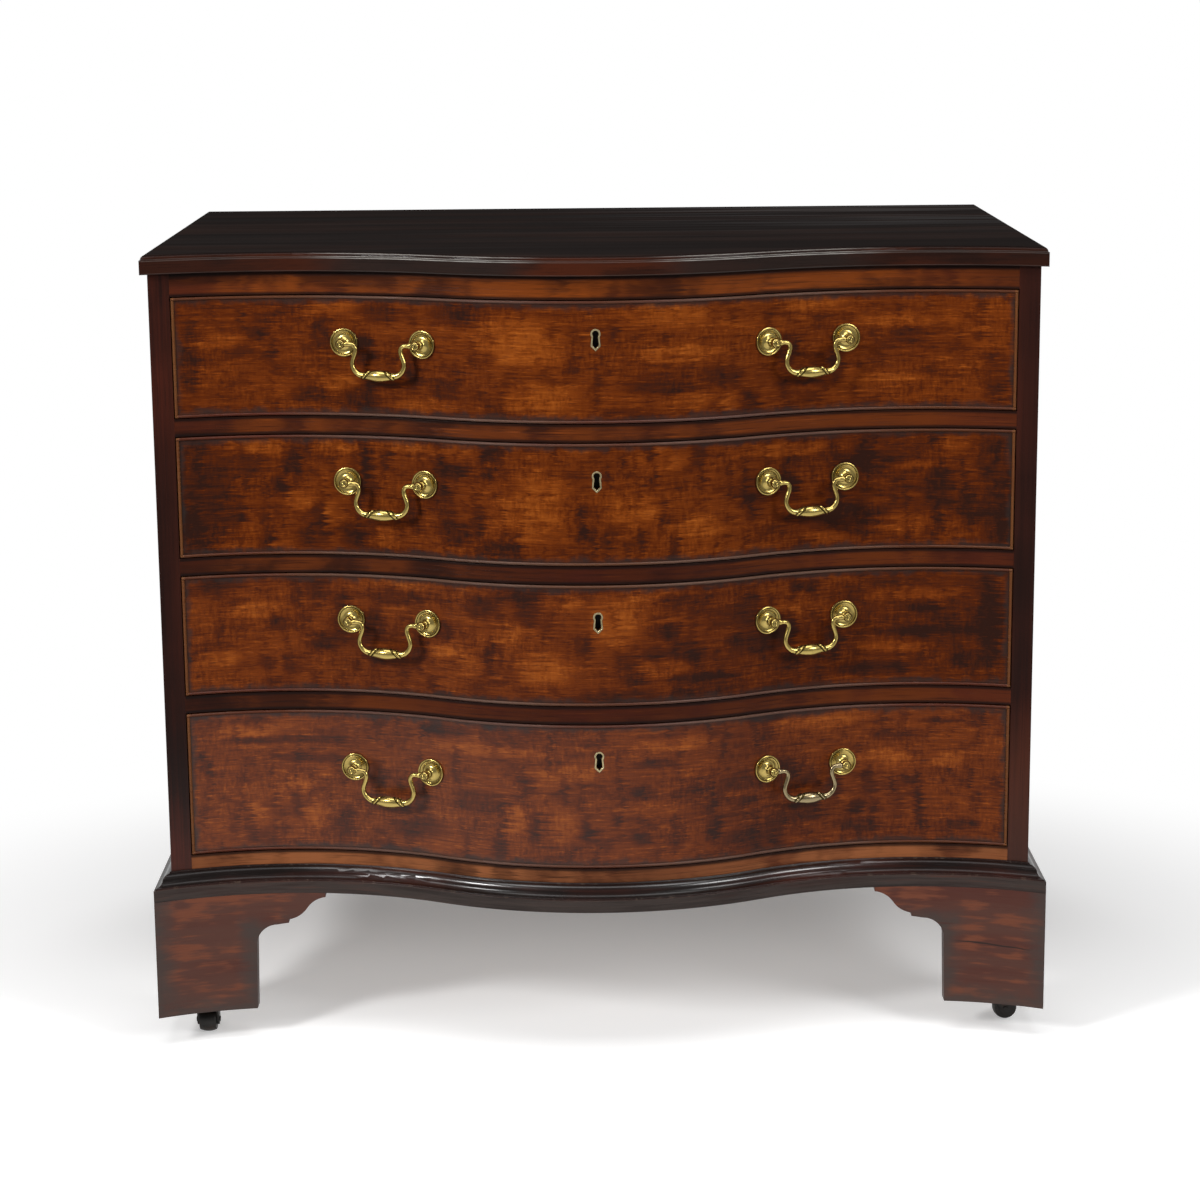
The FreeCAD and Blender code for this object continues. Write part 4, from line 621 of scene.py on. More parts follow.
# The moulded edge of the top in metres: how far below the face it starts, its lip, then painted highlight
# lines on its arrises, each by its distance below the face or above the underside and its reach
TOP_EDGE_START = (0.0004, 0.002)
TOP_LIP = 0.005
FACE_LINE = (0.0014, 0.0007)
LIP_LINE = (TOP_LIP - 0.0005, 0.0005)
LEDGE_LINE = (TOP_LIP + 0.0011, 0.0007)
UNDERSIDE_LINE = (0.0008, 0.0006)
# The full core of a line as a share of its reach, and the painted highlight beside the bulge, on the ledge
# and underneath
LINE_CORE = 0.4
BRIGHT_HIGHLIGHT = (0.3, 0.6, 0.27, 0.6)
LEDGE_HIGHLIGHT = 0.08
UNDERSIDE_HIGHLIGHT = 0.05
# From the middle of the chest in metres: the turn from the bulge to the hollows, and the redder stretch
BULGE_TO_TURN = (0.05, 0.11)
TURN_TO_HOLLOW = (0.33, 0.25)
TOP_EDGE_LIT = (0.46, 0.20, 0.35, 1.0)
# The red of the moulded edge by the tone of its grain and under smudges, and the smoke beside the bulge
TOP_EDGE_BY_TONE = (-0.4, 0.5)
TOP_SMUDGES = (0.44, 0.66, 1.0, 0.35)
TOP_SMOKE_DARKNESS = 0.45
TOP_SMOKE_STRENGTH = 0.85
# Where the face shines, along its width and its depth in metres, and in which streaks
SHINE_RIGHT = (-0.1, 0.35)
SHINE_BACK = (-0.1, 0.2)
SHINE_STREAKS = (0.42, 0.70)
# The gloss of the face, of its streaks and of their shining part, then of the moulded edge and its arrises
FACE_GLOSS = 0.012
STREAK_GLOSS = 0.006
SHINE_GLOSS = 0.055
EDGE_GLOSS = 0.10
ARRIS_GLOSS = 0.8
GLOSS_ARRIS = 0.0018


def top_edge(wood):
    """0 on the face of the top and 1 on its moulded edge."""
    return wood.ramp(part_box("top_board")[1].z - wood.z, *TOP_EDGE_START)


def top_grain(wood):
    """Grain that runs along the top, and along the moulded edge too."""
    edge = top_edge(wood)
    return wood.point(wood.x, wood.y * (1 - edge) + wood.z * edge, 0.0)


def beside_bulge(wood):
    """1 where the serpentine turns from the bulge to the hollows, 0 in the middle and at the ends."""
    aside = abs(wood.x)
    return wood.ramp(aside, *TURN_TO_HOLLOW) * wood.ramp(aside, *BULGE_TO_TURN)


def top_highlight_lines(wood):
    """Painted highlight lines on the arrises of the top's edge, bright beside the bulge."""
    low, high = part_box("top_board")
    below = high.z - wood.z
    bright = beside_bulge(wood) * wood.ramp(wood.noise("top_highlight"), *BRIGHT_HIGHLIGHT)

    def line(run, place, reach):
        return wood.ramp(abs(run - place), reach, reach * LINE_CORE)

    ledge = line(below, *LIP_LINE).most(line(below, *LEDGE_LINE))
    foot = line(wood.z - low.z, *UNDERSIDE_LINE)
    return line(below, *FACE_LINE) * bright + ledge * (LEDGE_HIGHLIGHT + bright) + foot * UNDERSIDE_HIGHLIGHT


def top_shade(wood, base, tone, tones):
    """The top's moulded edge is redder than its face, smoky beside the bulge, with painted highlight lines on
    its arrises.
    """
    lit = wood.ramp(abs(wood.x), *TOP_EDGE_LIT)
    smudge = wood.ramp(wood.noise("top_smudge"), *TOP_SMUDGES)
    edge = top_edge(wood)
    base = wood.mix(edge * lit * smudge * wood.ramp(tone, *TOP_EDGE_BY_TONE), base, tones.top_edge)
    smoke = [part * TOP_SMOKE_DARKNESS for part in tones.smoke]
    base = wood.mix(edge * beside_bulge(wood) * TOP_SMOKE_STRENGTH, base, smoke)
    # Painted highlight lines on the edge's arrises
    return wood.mix(edge * top_highlight_lines(wood), base, tones.arris_highlight)


def top_gloss(wood):
    """A thin gloss in streaks on the face, towards the right, and a full gloss on the edge's arrises."""
    streak = wood.ramp(wood.noise("top_streak"), *SHINE_STREAKS)
    side = wood.ramp(wood.x, *SHINE_RIGHT) * wood.ramp(wood.y, *SHINE_BACK)
    face = FACE_GLOSS + streak * (STREAK_GLOSS + side * SHINE_GLOSS)
    return face + top_edge(wood) * (EDGE_GLOSS + wood.edge_share(GLOSS_ARRIS) * ARRIS_GLOSS)


# The base moulding in metres: its band, where its upper round starts above the band, and where it shines
BAND_HEIGHT = 0.014
BAND_LINE = 0.0004
ABOVE_BAND = (-0.001, 0.001)
UPPER_ROUND = (0.007, 0.010)
BASE_SHINE_FROM = (0.02, 0.08, 0.25, 1.0)
BASE_SHINE_TO = (0.36, 0.28)
BASE_REDDER = (0.15, 0.40, 0.1, 0.6)
# The gloss of the band and of the mouldings above it, and what the turn beside the bulge adds to these
BAND_GLOSS = 0.04
MOULDING_GLOSS = 0.06
TURN_GLOSS = 0.22
UPPER_ROUND_GLOSS = 0.72
# Smoke and red on the band by the streaks of its grain, and chips on the arrises with their radius in metres
BAND_SMOKE = (0.30, 0.62, 0.45, 1.0)
BAND_RED = (0.52, 0.70)
BASE_CHIPS = (0.56, 0.68, 0.0, 0.7)
CHIPPED_RADIUS = 0.0010


def above_band(wood):
    """The height above the band of the base moulding."""
    return wood.z - (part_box("base_moulding")[0].z + BAND_HEIGHT)


def base_gloss(wood):
    """Wax polish on the base moulding above its band, thickest on its upper round beside the bulge."""
    height = above_band(wood)
    aside = abs(wood.x)
    beside = wood.ramp(aside, *BASE_SHINE_TO) * wood.ramp(aside, *BASE_SHINE_FROM)
    waxed = beside * (TURN_GLOSS + wood.ramp(height, *UPPER_ROUND) * UPPER_ROUND_GLOSS)
    return BAND_GLOSS + wood.ramp(height, *ABOVE_BAND) * (MOULDING_GLOSS + waxed)


def base_shade(wood, base, tone, tones):
    """The band of the base is smoky brown, and its arrises are worn bare in places."""
    streak = wood.noise("base_streak")
    band = wood.ramp(above_band(wood), BAND_LINE, -BAND_LINE) * wood.ramp(streak, *BAND_SMOKE)
    base = wood.mix(band, base, tones.smoke)
    red = wood.ramp(streak, *BAND_RED) * wood.ramp(abs(wood.x), *BASE_REDDER)
    base = wood.mix(band * red, base, tones.foot)
    chips = wood.ramp(wood.noise("base_chip"), *BASE_CHIPS)
    return wood.mix(wood.edge_share(CHIPPED_RADIUS) * chips, base, tones.wear)


# Cockbeads in metres: where along the front the long ones carry a painted grey highlight, and the width of
# the short ones
BEAD_HIGHLIGHT_FROM = (0.02, 0.10, 0.25, 1.0)
BEAD_HIGHLIGHT_TO = (0.36, 0.24, 0.0, 0.38)
BEAD_WIDTH = 0.004
BEAD_LINE = 0.001
SHORT_BEAD_BROWN = 0.5


def bead_shade(wood, base, tone, tones):
    """The long beads carry a painted grey highlight beside the bulge, the short ones stay brown."""
    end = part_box("drawer_1_cockbeads")[1].x - BEAD_WIDTH
    aside = abs(wood.x)
    # Painted grey highlight on the long beads beside the bulge
    waxed = wood.ramp(aside, *BEAD_HIGHLIGHT_TO) * wood.ramp(aside, *BEAD_HIGHLIGHT_FROM)
    base = wood.mix(waxed, base, tones.bead_highlight)
    return wood.mix(wood.ramp(aside, end, end + BEAD_LINE, 0.0, SHORT_BEAD_BROWN), base, tones.bead_end)


# The feet in metres: the width of a leg, the level of the cove beside it, and how far in the darkening
# towards the edges reaches
LEG_WIDTH = 0.108
COVE_LEVEL = 0.125
FOOT_EDGE_DARKENING = (0.026, 0.001, 0.0, 0.85)
FOOT_EDGE_WAVER = 0.034
# Their red streaks, and how far patches sway these
FOOT_RED = (0.46, 0.68, 0.0, 0.85)
FOOT_PATCH_SWAY = 0.9
# The crack in the right foot: its height at its start, its fall, half its width, and its two ends
CRACK_START = 0.40
CRACK_HEIGHT = 0.1085
CRACK_FALL = 0.065
CRACK_WAVER = 0.003
CRACK_WIDTH = (0.0013, 0.0003)
CRACK_FROM = (0.395, 0.415)
CRACK_TO = (0.488, 0.470)
CRACK_DARKNESS = 0.9


def foot_shade(wood, base, tone, tones):
    """Red streaks in the middle of each foot, a darkening towards its edges and an old crack in the right
    one.
    """
    low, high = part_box("front_right_foot")
    run = (high.x - abs(wood.x)).most(wood.y - low.y)
    haze = wood.noise("foot_haze")
    red = wood.noise("foot_streak") + wood.noise("foot_patch").swing(FOOT_PATCH_SWAY)
    base = wood.mix(wood.ramp(red, *FOOT_RED), base, tones.foot_red)
    # Darker towards the bottom, the outer corner and the inner edge of each leg
    inner = (LEG_WIDTH - run).most(wood.z - COVE_LEVEL)
    inset = run.least(wood.z - low.z).least(inner)
    smoke = wood.ramp(inset + haze.swing(FOOT_EDGE_WAVER), *FOOT_EDGE_DARKENING)
    base = wood.mix(smoke, base, tones.smoke)
    above = wood.z - CRACK_HEIGHT + (wood.x - CRACK_START) * CRACK_FALL + haze.swing(CRACK_WAVER)
    stretch = wood.ramp(wood.x, *CRACK_FROM) * wood.ramp(wood.x, *CRACK_TO)
    return wood.mix(wood.ramp(abs(above), *CRACK_WIDTH) * stretch * CRACK_DARKNESS, base, tones.top_dark)


# Unpolished wood: the darkness of its shade, and how rings, fibres and age bring that up
PLAIN_SHADE = 0.42
PLAIN_RINGS = (0.35, 0.65, 0.0, 0.7)
PLAIN_FIBRE_SWAY = 0.8
PLAIN_AGE = (0.45, 0.75, 0.0, 0.45)
# Its roughness, what fibres add to it, and the relief of its rings
PLAIN_ROUGHNESS = 0.72
PLAIN_FIBRE_ROUGHNESS = 0.2
PLAIN_RING_RELIEF = 0.4


def plain_wood(name, along, ground, seed):
    """Unpolished softwood or oak inside the chest."""
    wood = Finish(name)
    fibre = wood.noise("plain_fibre_" + along, seed)
    ring = wood.noise("plain_ring_" + along, seed)
    age = wood.noise("plain_age", seed)
    shade = [part * PLAIN_SHADE for part in ground]
    base = wood.mix(wood.ramp(ring, *PLAIN_RINGS) + fibre.swing(PLAIN_FIBRE_SWAY), ground, shade)
    base = wood.mix(wood.ramp(age, *PLAIN_AGE), base, shade)
    rough = PLAIN_ROUGHNESS + fibre.swing(PLAIN_FIBRE_ROUGHNESS)
    height = fibre + ring * PLAIN_RING_RELIEF
    return wood.polish(base, rough, height, depth=0.00012, arris=0.0006, Specular_IOR_Level=0.3)


# Metals

# How near other surfaces have to be for brass to darken with tarnish and painted shade, and the depth of a
# lock's thread, in metres
OCCLUSION_DISTANCE = 0.007
OCCLUSION_SAMPLES = 8
THREAD_DEPTH = (0.006, 0.008)
# Tarnish with painted shade by how open a hollow is, the levels at which it starts and is full, its specks,
# and that of threads
OCCLUSION_TARNISH_AND_SHADE = (0.85, 0.35, 0.0, 0.9)
TARNISH_LEVELS = (0.12, 0.85)
TARNISH_SPECKS = (0.62, 0.74, 0.0, 0.2)
THREAD_TARNISH = (0.45, 0.75, 0.0, 0.5)
# How far clouds sway the tarnish, on most of the brass and on the worn bail
BRIGHT_PATINA = 0.3
WORN_PATINA = 1.1
# The roughness of brass, and what tarnish, clouds and the lock behind a thread add to it
BRASS_ROUGHNESS = 0.24
TARNISH_ROUGHNESS = 0.22
CLOUD_ROUGHNESS = 0.12
LOCK_ROUGHNESS = 0.3
# Iron: its rust, its roughness and what pits add to that
RUST_PATCHES = (0.5, 0.75, 0.0, 0.5)
IRON_ROUGHNESS = 0.45
PIT_ROUGHNESS = 0.3


def brass_finish(name, tones, bright=None, patina=BRIGHT_PATINA):
    """Polished brass with tarnish in its hollows and where an attribute marks a recess, and painted shade
    where other surfaces come close.
    """
    metal = Finish(name)
    recess = metal.node("ShaderNodeAttribute", {"attribute_name": "recess"}, {}, "Fac")
    cloud = metal.noise("brass_cloud")
    speck = metal.noise("brass_speck")
    settings = {"samples": OCCLUSION_SAMPLES}
    # Ambient occlusion darkens the brass as tarnish and as painted shade, near the wood as well as in its own
    # hollows
    occlusion = metal.node("ShaderNodeAmbientOcclusion", settings, {"Distance": OCCLUSION_DISTANCE}, "AO")
    gathered = recess + metal.ramp(occlusion, *OCCLUSION_TARNISH_AND_SHADE) + cloud.swing(patina)
    dull = metal.ramp(gathered, *TARNISH_LEVELS)
    base = metal.mix(dull, bright or tones.brass, tones.tarnish)
    base = metal.mix(metal.ramp(speck, *TARNISH_SPECKS), base, tones.tarnish)
    rough = BRASS_ROUGHNESS + dull * TARNISH_ROUGHNESS + cloud.swing(CLOUD_ROUGHNESS)
    return metal.polish(base, rough, speck, depth=0.00003, arris=0.0002, Metallic=1.0)


def lock_finish(tones):
    """Bright brass for the thread before the front and blackened iron for the lock behind it."""
    metal = Finish("lock_brass_and_iron")
    behind = metal.ramp(metal.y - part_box("drawer_1_lock")[0].y, *THREAD_DEPTH)
    cloud = metal.noise("lock_cloud")
    bright = metal.mix(metal.ramp(cloud, *THREAD_TARNISH), tones.thread, tones.tarnish)
    base = metal.mix(behind, bright, tones.iron)
    rough = BRASS_ROUGHNESS + behind * LOCK_ROUGHNESS
    return metal.polish(base, rough, cloud, depth=0.00004, arris=0.0003, Metallic=0.7)


def iron_finish(tones):
    """Pitted iron with rust in patches."""
    metal = Finish("castor_iron")
    pit = metal.noise("castor_pit")
    base = metal.mix(metal.ramp(metal.noise("castor_rust"), *RUST_PATCHES), tones.iron, tones.rust)
    rough = IRON_ROUGHNESS + pit.swing(PIT_ROUGHNESS)
    return metal.polish(base, rough, pit, depth=0.0002, arris=0.0006, Metallic=0.6)


def dress(material, *names):
    """Give CAD nodes a material in place of their own."""
    for name in names:
        node = frame["nodes"][name]
        node.data.materials.clear()
        node.data.materials.append(material)


# Modelling

# How near points are merged, in metres, and up to which angle in degrees brass is shaded smooth
MERGE_DISTANCE = 0.000004
SEAM_DISTANCE = 0.00001
MOUNT_SMOOTHING = 32
BAIL_SMOOTHING = 50
TURNED_STEPS = 56


def start_editing(name, add, **settings):
    """Add a primitive as a new object and open it for editing."""
    bpy.ops.object.select_all(action="DESELECT")
    add(**settings)
    piece = bpy.context.object
    piece.name = name
    piece.data.name = name
    bpy.ops.object.mode_set(mode="EDIT")
    bpy.ops.mesh.select_all(action="SELECT")
    return piece


def finish_editing(piece, angle):
    """Merge doubles, turn the normals outwards and shade smooth up to an angle in degrees."""
    bpy.ops.mesh.select_all(action="SELECT")
    bpy.ops.mesh.remove_doubles(threshold=MERGE_DISTANCE)
    bpy.ops.mesh.normals_make_consistent(inside=False)
    bpy.ops.object.mode_set(mode="OBJECT")
    bpy.ops.object.shade_smooth_by_angle(angle=math.radians(angle))
    return piece


def turned(name, outline):
    """A turned piece about the y axis, from (radius, distance before the front) in millimetres."""
    piece = start_editing(name, bpy.ops.mesh.primitive_plane_add, size=MM)
    bpy.ops.mesh.merge(type="CENTER")
    radius, out = outline[0]
    bpy.ops.transform.translate(value=(radius * MM, -out * MM, 0))
    for (r0, y0), (r1, y1) in zip(outline, outline[1:]):
        step = ((r1 - r0) * MM, (y0 - y1) * MM, 0)
        bpy.ops.mesh.extrude_region_move(TRANSFORM_OT_translate={"value": step})
    bpy.ops.mesh.select_all(action="SELECT")
    bpy.ops.mesh.spin(steps=TURNED_STEPS, angle=math.tau, center=(0, 0, 0), axis=(0, 1, 0))
    return finish_editing(piece, MOUNT_SMOOTHING)


def mark_recess(piece, share_at):
    """Store how deep in a recess each point lies, for the tarnish."""
    marks = piece.data.attributes.new("recess", "FLOAT", "POINT")
    for point, mark in zip(piece.data.vertices, marks.data):
        mark.value = share_at(point.co)


def placed_copy(piece, matrix):
    """A copy with its own mesh, its place put into the mesh."""
    copy = piece.copy()
    copy.data = piece.data.copy()
    bpy.context.collection.objects.link(copy)
    copy.matrix_world = matrix
    bpy.ops.object.select_all(action="DESELECT")
    copy.select_set(True)
    bpy.context.view_layer.objects.active = copy
    bpy.ops.object.transform_apply(location=True, rotation=True, scale=True)
    if matrix.determinant() < 0:
        bpy.ops.object.mode_set(mode="EDIT")
        bpy.ops.mesh.select_all(action="SELECT")
        bpy.ops.mesh.normals_make_consistent(inside=False)
        bpy.ops.object.mode_set(mode="OBJECT")
    return copy


def joined(name, pieces):
    """Join pieces into one object."""
    bpy.ops.object.select_all(action="DESELECT")
    for piece in pieces:
        piece.select_set(True)
    bpy.context.view_layer.objects.active = pieces[0]
    bpy.ops.object.join()
    whole = bpy.context.object
    whole.name = name
    whole.data.name = name
    return whole


def joint_named(name):
    """A joint of the frame."""
    return next(joint for joint in frame["joints"] if joint["name"] == name)


def hinge_height(number):
    """The height of the hinge line of a drawer's bails."""
    return joint_named(f"drawer_{number}_left_bail_swing")["pos_m"][2]


def post_stance(x, side, z):
    """Where a post stands on the serpentine front, square to it."""
    lean = (HOLLOW_PLACE - x) / HOLLOW_RADIUS
    y = HOLLOW_CENTRE_Y + HOLLOW_RADIUS * math.sqrt(1 - lean * lean)
    turn = Matrix.Rotation(math.asin(lean) * side, 4, "Z")
    return Matrix.Translation((side * x, y, z)) @ turn


# A post with its head, dished rose and nut: (radius, distance before the front) in millimetres
MOUNT_OUTLINE = [
    (0, 22.0), (0.9, 21.85), (1.45, 21.45), (1.6, 21.0), (1.95, 20.75), (2.3, 21.0), (2.75, 21.1),
    (3.2, 20.95), (3.45, 20.5), (3.75, 20.4), (4.2, 20.1), (4.7, 19.3), (5.05, 18.2), (5.2, 17.0),
    (5.2, 15.6), (5.0, 14.2), (4.6, 13.0), (4.0, 12.2), (3.4, 11.8), (3.0, 11.2), (2.85, 10.4),
    (3.0, 9.7), (3.5, 9.3), (3.8, 8.8), (3.8, 8.3), (3.5, 7.8), (3.0, 7.4), (2.9, 6.4), (3.1, 5.4),
    (3.5, 4.6), (4.1, 3.85), (4.8, 3.2), (5.6, 2.6), (6.4, 2.1), (7.3, 1.7), (8.4, 1.45), (9.8, 1.45),
    (11.2, 1.7), (12.2, 2.05), (12.75, 2.35), (13.0, 2.2), (13.25, 2.1), (13.45, 2.15), (13.6, 2.3),
    (13.85, 2.7), (14.2, 2.92), (14.7, 2.92), (15.1, 2.7), (15.3, 2.3), (15.3, 0.4), (2.5, 0.4),
    (2.5, -24), (5.0, -24), (5.5, -24.5), (5.5, -28.5), (5.0, -29), (2.5, -29), (2.5, -31.5), (2.0, -32),
    (0, -32),
]
# Rings that gather tarnish: radius, distance before the front and reach in millimetres
RECESS_RINGS = ((1.75, 20.9, 0.45), (3.5, 20.45, 0.45), (3.1, 6.6, 2.0), (13.3, 2.1, 0.5))
RECESS_FALL = 0.6


def mount_recess(point):
    """Deep in the rings of a post head and its rose."""
    radius = math.hypot(point.x, point.z) / MM
    out = -point.y / MM
    nearest = min(math.hypot(radius - ring, out - level) / reach for ring, level, reach in RECESS_RINGS)
    return max(0.0, 1.0 - RECESS_FALL * nearest)


# The right half of a bail in its own plane, in millimetres from its middle and from its hinge line
GRIP_PLACES = range(0, 18, 2)
GRIP_TAPER = 24
GRIP_FULLNESS = 2.3
GRIP_SAG = 0.012
GRIP_FLATNESS = 0.92
CORNER_PLACE = 17.0
CORNER_RADIUS = 13.0
CORNER_TURNS = range(-74, 0, 12)
CORNER_SWELLING = 0.34
ARM_SHARES = (0.12, 0.28, 0.44, 0.6, 0.76, 0.9)
ARM_END = (25.9, -5.6)
CREST_PLACE = 31.4
CREST_RADIUS = 5.5
CREST_TURNS = range(180, 90, -20)
# The pin: places along the hinge line, and its thickness there as a share of the crest's
PIN_PLACES = ((33.0, 1.05), (35.0, 1.2), (36.4, 1.3), (37.4, 1.28), (38.1, 1.05), (43.6, 0.95))
BAIL_SIDES = 20


def bail_stations(sizes):
    """From the middle of the grip to the pin: x along the hinge line, z up, half height and half depth."""
    drop = sizes.grip_drop / MM
    wire = sizes.wire_radius / MM
    crest = sizes.crest_wire / MM
    grip = sizes.grip_radius / MM
    stations = []
    for x in GRIP_PLACES:
        half = wire + (grip - wire) * (1 - (x / GRIP_TAPER) ** 2) ** GRIP_FULLNESS
        stations.append((x, -drop - GRIP_SAG * x, half, half * GRIP_FLATNESS))
    for degrees in CORNER_TURNS:
        turn = math.radians(degrees)
        x = CORNER_PLACE + CORNER_RADIUS * math.cos(turn)
        z = CORNER_RADIUS - drop + CORNER_RADIUS * math.sin(turn)
        half = wire * (1 + CORNER_SWELLING * (degrees / CORNER_TURNS.start) ** 2)
        stations.append((x, z, half, half))
    arm_x, arm_z = stations[-1][:2]
    for share in ARM_SHARES:
        ease = share * share * (3 - 2 * share)
        half = wire + (crest - wire) * share
        x = arm_x + (ARM_END[0] - arm_x) * ease
        stations.append((x, arm_z + (ARM_END[1] - arm_z) * share, half, half))
    for degrees in CREST_TURNS:
        turn = math.radians(degrees)
        x = CREST_PLACE + CREST_RADIUS * math.cos(turn)
        stations.append((x, CREST_RADIUS * (math.sin(turn) - 1), crest, crest))
    for x, thick in PIN_PLACES:
        stations.append((x, 0.0, crest * thick, crest * thick))
    return stations


def sweep_stations(stations):
    """Extrude the selected disc from station to station, turning and resizing it on the way."""
    heading = 0.0
    size = stations[0][2:]
    for place, (x, z, tall, deep) in enumerate(stations[1:], start=1):
        x0, z0 = stations[place - 1][:2]
        x1, z1 = stations[min(place + 1, len(stations) - 1)][:2]
        step = ((x - x0) * MM, 0, (z - z0) * MM)
        bpy.ops.mesh.extrude_region_move(TRANSFORM_OT_translate={"value": step})
        centre = (x * MM, 0, z * MM)
        goal = math.atan2(z1 - z0, x1 - x0) if place + 1 < len(stations) else 0.0
        turn = (goal - heading + math.pi) % math.tau - math.pi
        bpy.ops.transform.rotate(value=turn, orient_axis="Y", center_override=centre)
        heading = goal
        grow = (tall / size[0], deep / size[1])
        bpy.ops.transform.resize(value=(grow[0], grow[1], grow[0]), center_override=centre)
        size = (tall, deep)


def make_bail_pattern(sizes):
    """The right half of a bail, swept from the middle of its grip."""
    stations = bail_stations(sizes)
    z, tall, deep = stations[0][1:]
    piece = start_editing(
        "bail_pattern", bpy.ops.mesh.primitive_circle_add, vertices=BAIL_SIDES, radius=tall * MM,
        fill_type="NGON", location=(0, 0, z * MM), rotation=(0, math.pi / 2, 0))
    bpy.ops.object.mode_set(mode="OBJECT")
    bpy.ops.object.transform_apply(location=True, rotation=True, scale=True)
    bpy.ops.object.mode_set(mode="EDIT")
    bpy.ops.mesh.select_all(action="SELECT")
    bpy.ops.transform.resize(value=(1, deep / tall, 1), center_override=(0, 0, z * MM))
    sweep_stations(stations)
    bpy.ops.mesh.select_all(action="DESELECT")
    bpy.ops.object.mode_set(mode="OBJECT")
    return piece


# The slanted ridges at the ends of the grip, in metres, and the tarnish beside them and on the pins
RIDGE_PLACE = 0.0140
RIDGE_LIFT = 0.0009
RIDGE_REACH = 0.0060
RIDGE_THICKNESS = 0.0010
RIDGE_FLATNESS = 0.72
RIDGE_STEPS = 40
RIDGE_SIDES = 10
RIDGE_SLANT = math.radians(44)
RIDGE_TARNISH = 0.9
RIDGE_TARNISH_REACH = 2.6 * RIDGE_THICKNESS
GRIP_END = 0.022
PIN_START = 0.0375
PIN_FADE = 0.002
# The one bail with a worn finish
WORN_BAIL = "drawer_4_right_bail"


def bail_recess(sizes, point):
    """Deep in the corners beside the ridges and on the pins."""
    run = (abs(point.x) - RIDGE_PLACE) * math.cos(RIDGE_SLANT)
    beside = abs(run + (point.z + sizes.grip_drop - RIDGE_LIFT) * math.sin(RIDGE_SLANT))
    cornered = abs(point.x) < GRIP_END and RIDGE_THICKNESS < beside < RIDGE_TARNISH_REACH
    pinned = min(1.0, (abs(point.x) - PIN_START) / PIN_FADE)
    return max(0.0, pinned, RIDGE_TARNISH if cornered else 0.0)


# Operators

class ChestOperator:
    """What the operators share."""

    bl_options = {"REGISTER", "UNDO"}

    def execute(self, context):
        self.make(context.scene.chest_colours, context.scene.chest_sizes)
        return {"FINISHED"}


class CHEST_OT_drawer_fronts(ChestOperator, bpy.types.Operator):
    """Give each drawer front its own figured mahogany"""

    bl_idname = "chest.drawer_fronts"
    bl_label = "Drawer fronts"

    def make(self, tones, sizes):
        for number in DRAWERS:
            dress(figured_front(number, tones), f"drawer_{number}_front")


class CHEST_OT_carcass(ChestOperator, bpy.types.Operator):
    """Polish the sides, rails, top, base moulding and feet"""

    bl_idname = "chest.carcass"
    bl_label = "Carcass"

    def make(self, tones, sizes):
        dark, red = tones.stile_dark, tones.stile_red
        sides = carcass_wood(
            "side_mahogany", "z", tones, dark, red, side_shade, rough=0.36, seed=1.3, mirror=0.08,
            warmth=-0.05, gloss=side_gloss, Coat_Roughness=0.35)
        dress(sides, "left_side", "right_side")
        rails = carcass_wood(
            "rail_mahogany", "x", tones, dark, red, rail_shade, rough=0.34, seed=5.1, mirror=0.06,
            warmth=0.12)
        dress(rails, "front_rails")
        top = carcass_wood(
            "top_mahogany", "top", tones, tones.top_dark, tones.top_brown, top_shade, rough=0.30, seed=8.4,
            mirror=0.0, warmth=0.0, gloss=top_gloss, arris=0.0018, Coat_Roughness=0.10)
        dress(top, "top_board")
        base = carcass_wood(
            "base_mahogany", "x", tones, tones.top_dark, red, base_shade, rough=0.26, seed=11.2, mirror=0.12,
            warmth=-0.25, gloss=base_gloss, arris=0.0012, Coat_Roughness=0.20)
        dress(base, "base_moulding")
        feet = carcass_wood(
            "foot_mahogany", "x", tones, red, tones.foot, foot_shade, rough=0.42, seed=14.9, mirror=0.25,
            warmth=0.25)
        dress(feet, *(corner + "_foot" for corner in CORNERS))


class CHEST_OT_cockbeads(ChestOperator, bpy.types.Operator):
    """Polish the cockbeads round the drawer fronts"""

    bl_idname = "chest.cockbeads"
    bl_label = "Cockbeads"

    def make(self, tones, sizes):
        bead = carcass_wood(
            "cockbead_mahogany", "x", tones, tones.stile_red, tones.bead, bead_shade, rough=0.26, seed=17.0,
            mirror=0.12, warmth=0.15)
        dress(bead, *(f"drawer_{number}_cockbeads" for number in DRAWERS))


class CHEST_OT_linings(ChestOperator, bpy.types.Operator):
    """Finish the oak and pine inside the chest and at its back"""

    bl_idname = "chest.linings"
    bl_label = "Linings and boards"

    def make(self, tones, sizes):
        linings = (f"drawer_{number}_lining" for number in DRAWERS)
        dress(plain_wood("lining_oak", "y", tones.oak, 2.2), *linings, "drawer_runners", "drawer_stops")
        bottoms = (f"drawer_{number}_bottom" for number in DRAWERS)
        dress(plain_wood("bottom_oak", "x", tones.oak, 6.6), *bottoms)
        dress(plain_wood("board_pine", "x", tones.pine, 9.1), "carcass_bottom", "dustboards")
        dress(plain_wood("back_pine", "z", tones.pine, 12.7), "back_boards", "foot_blocks")


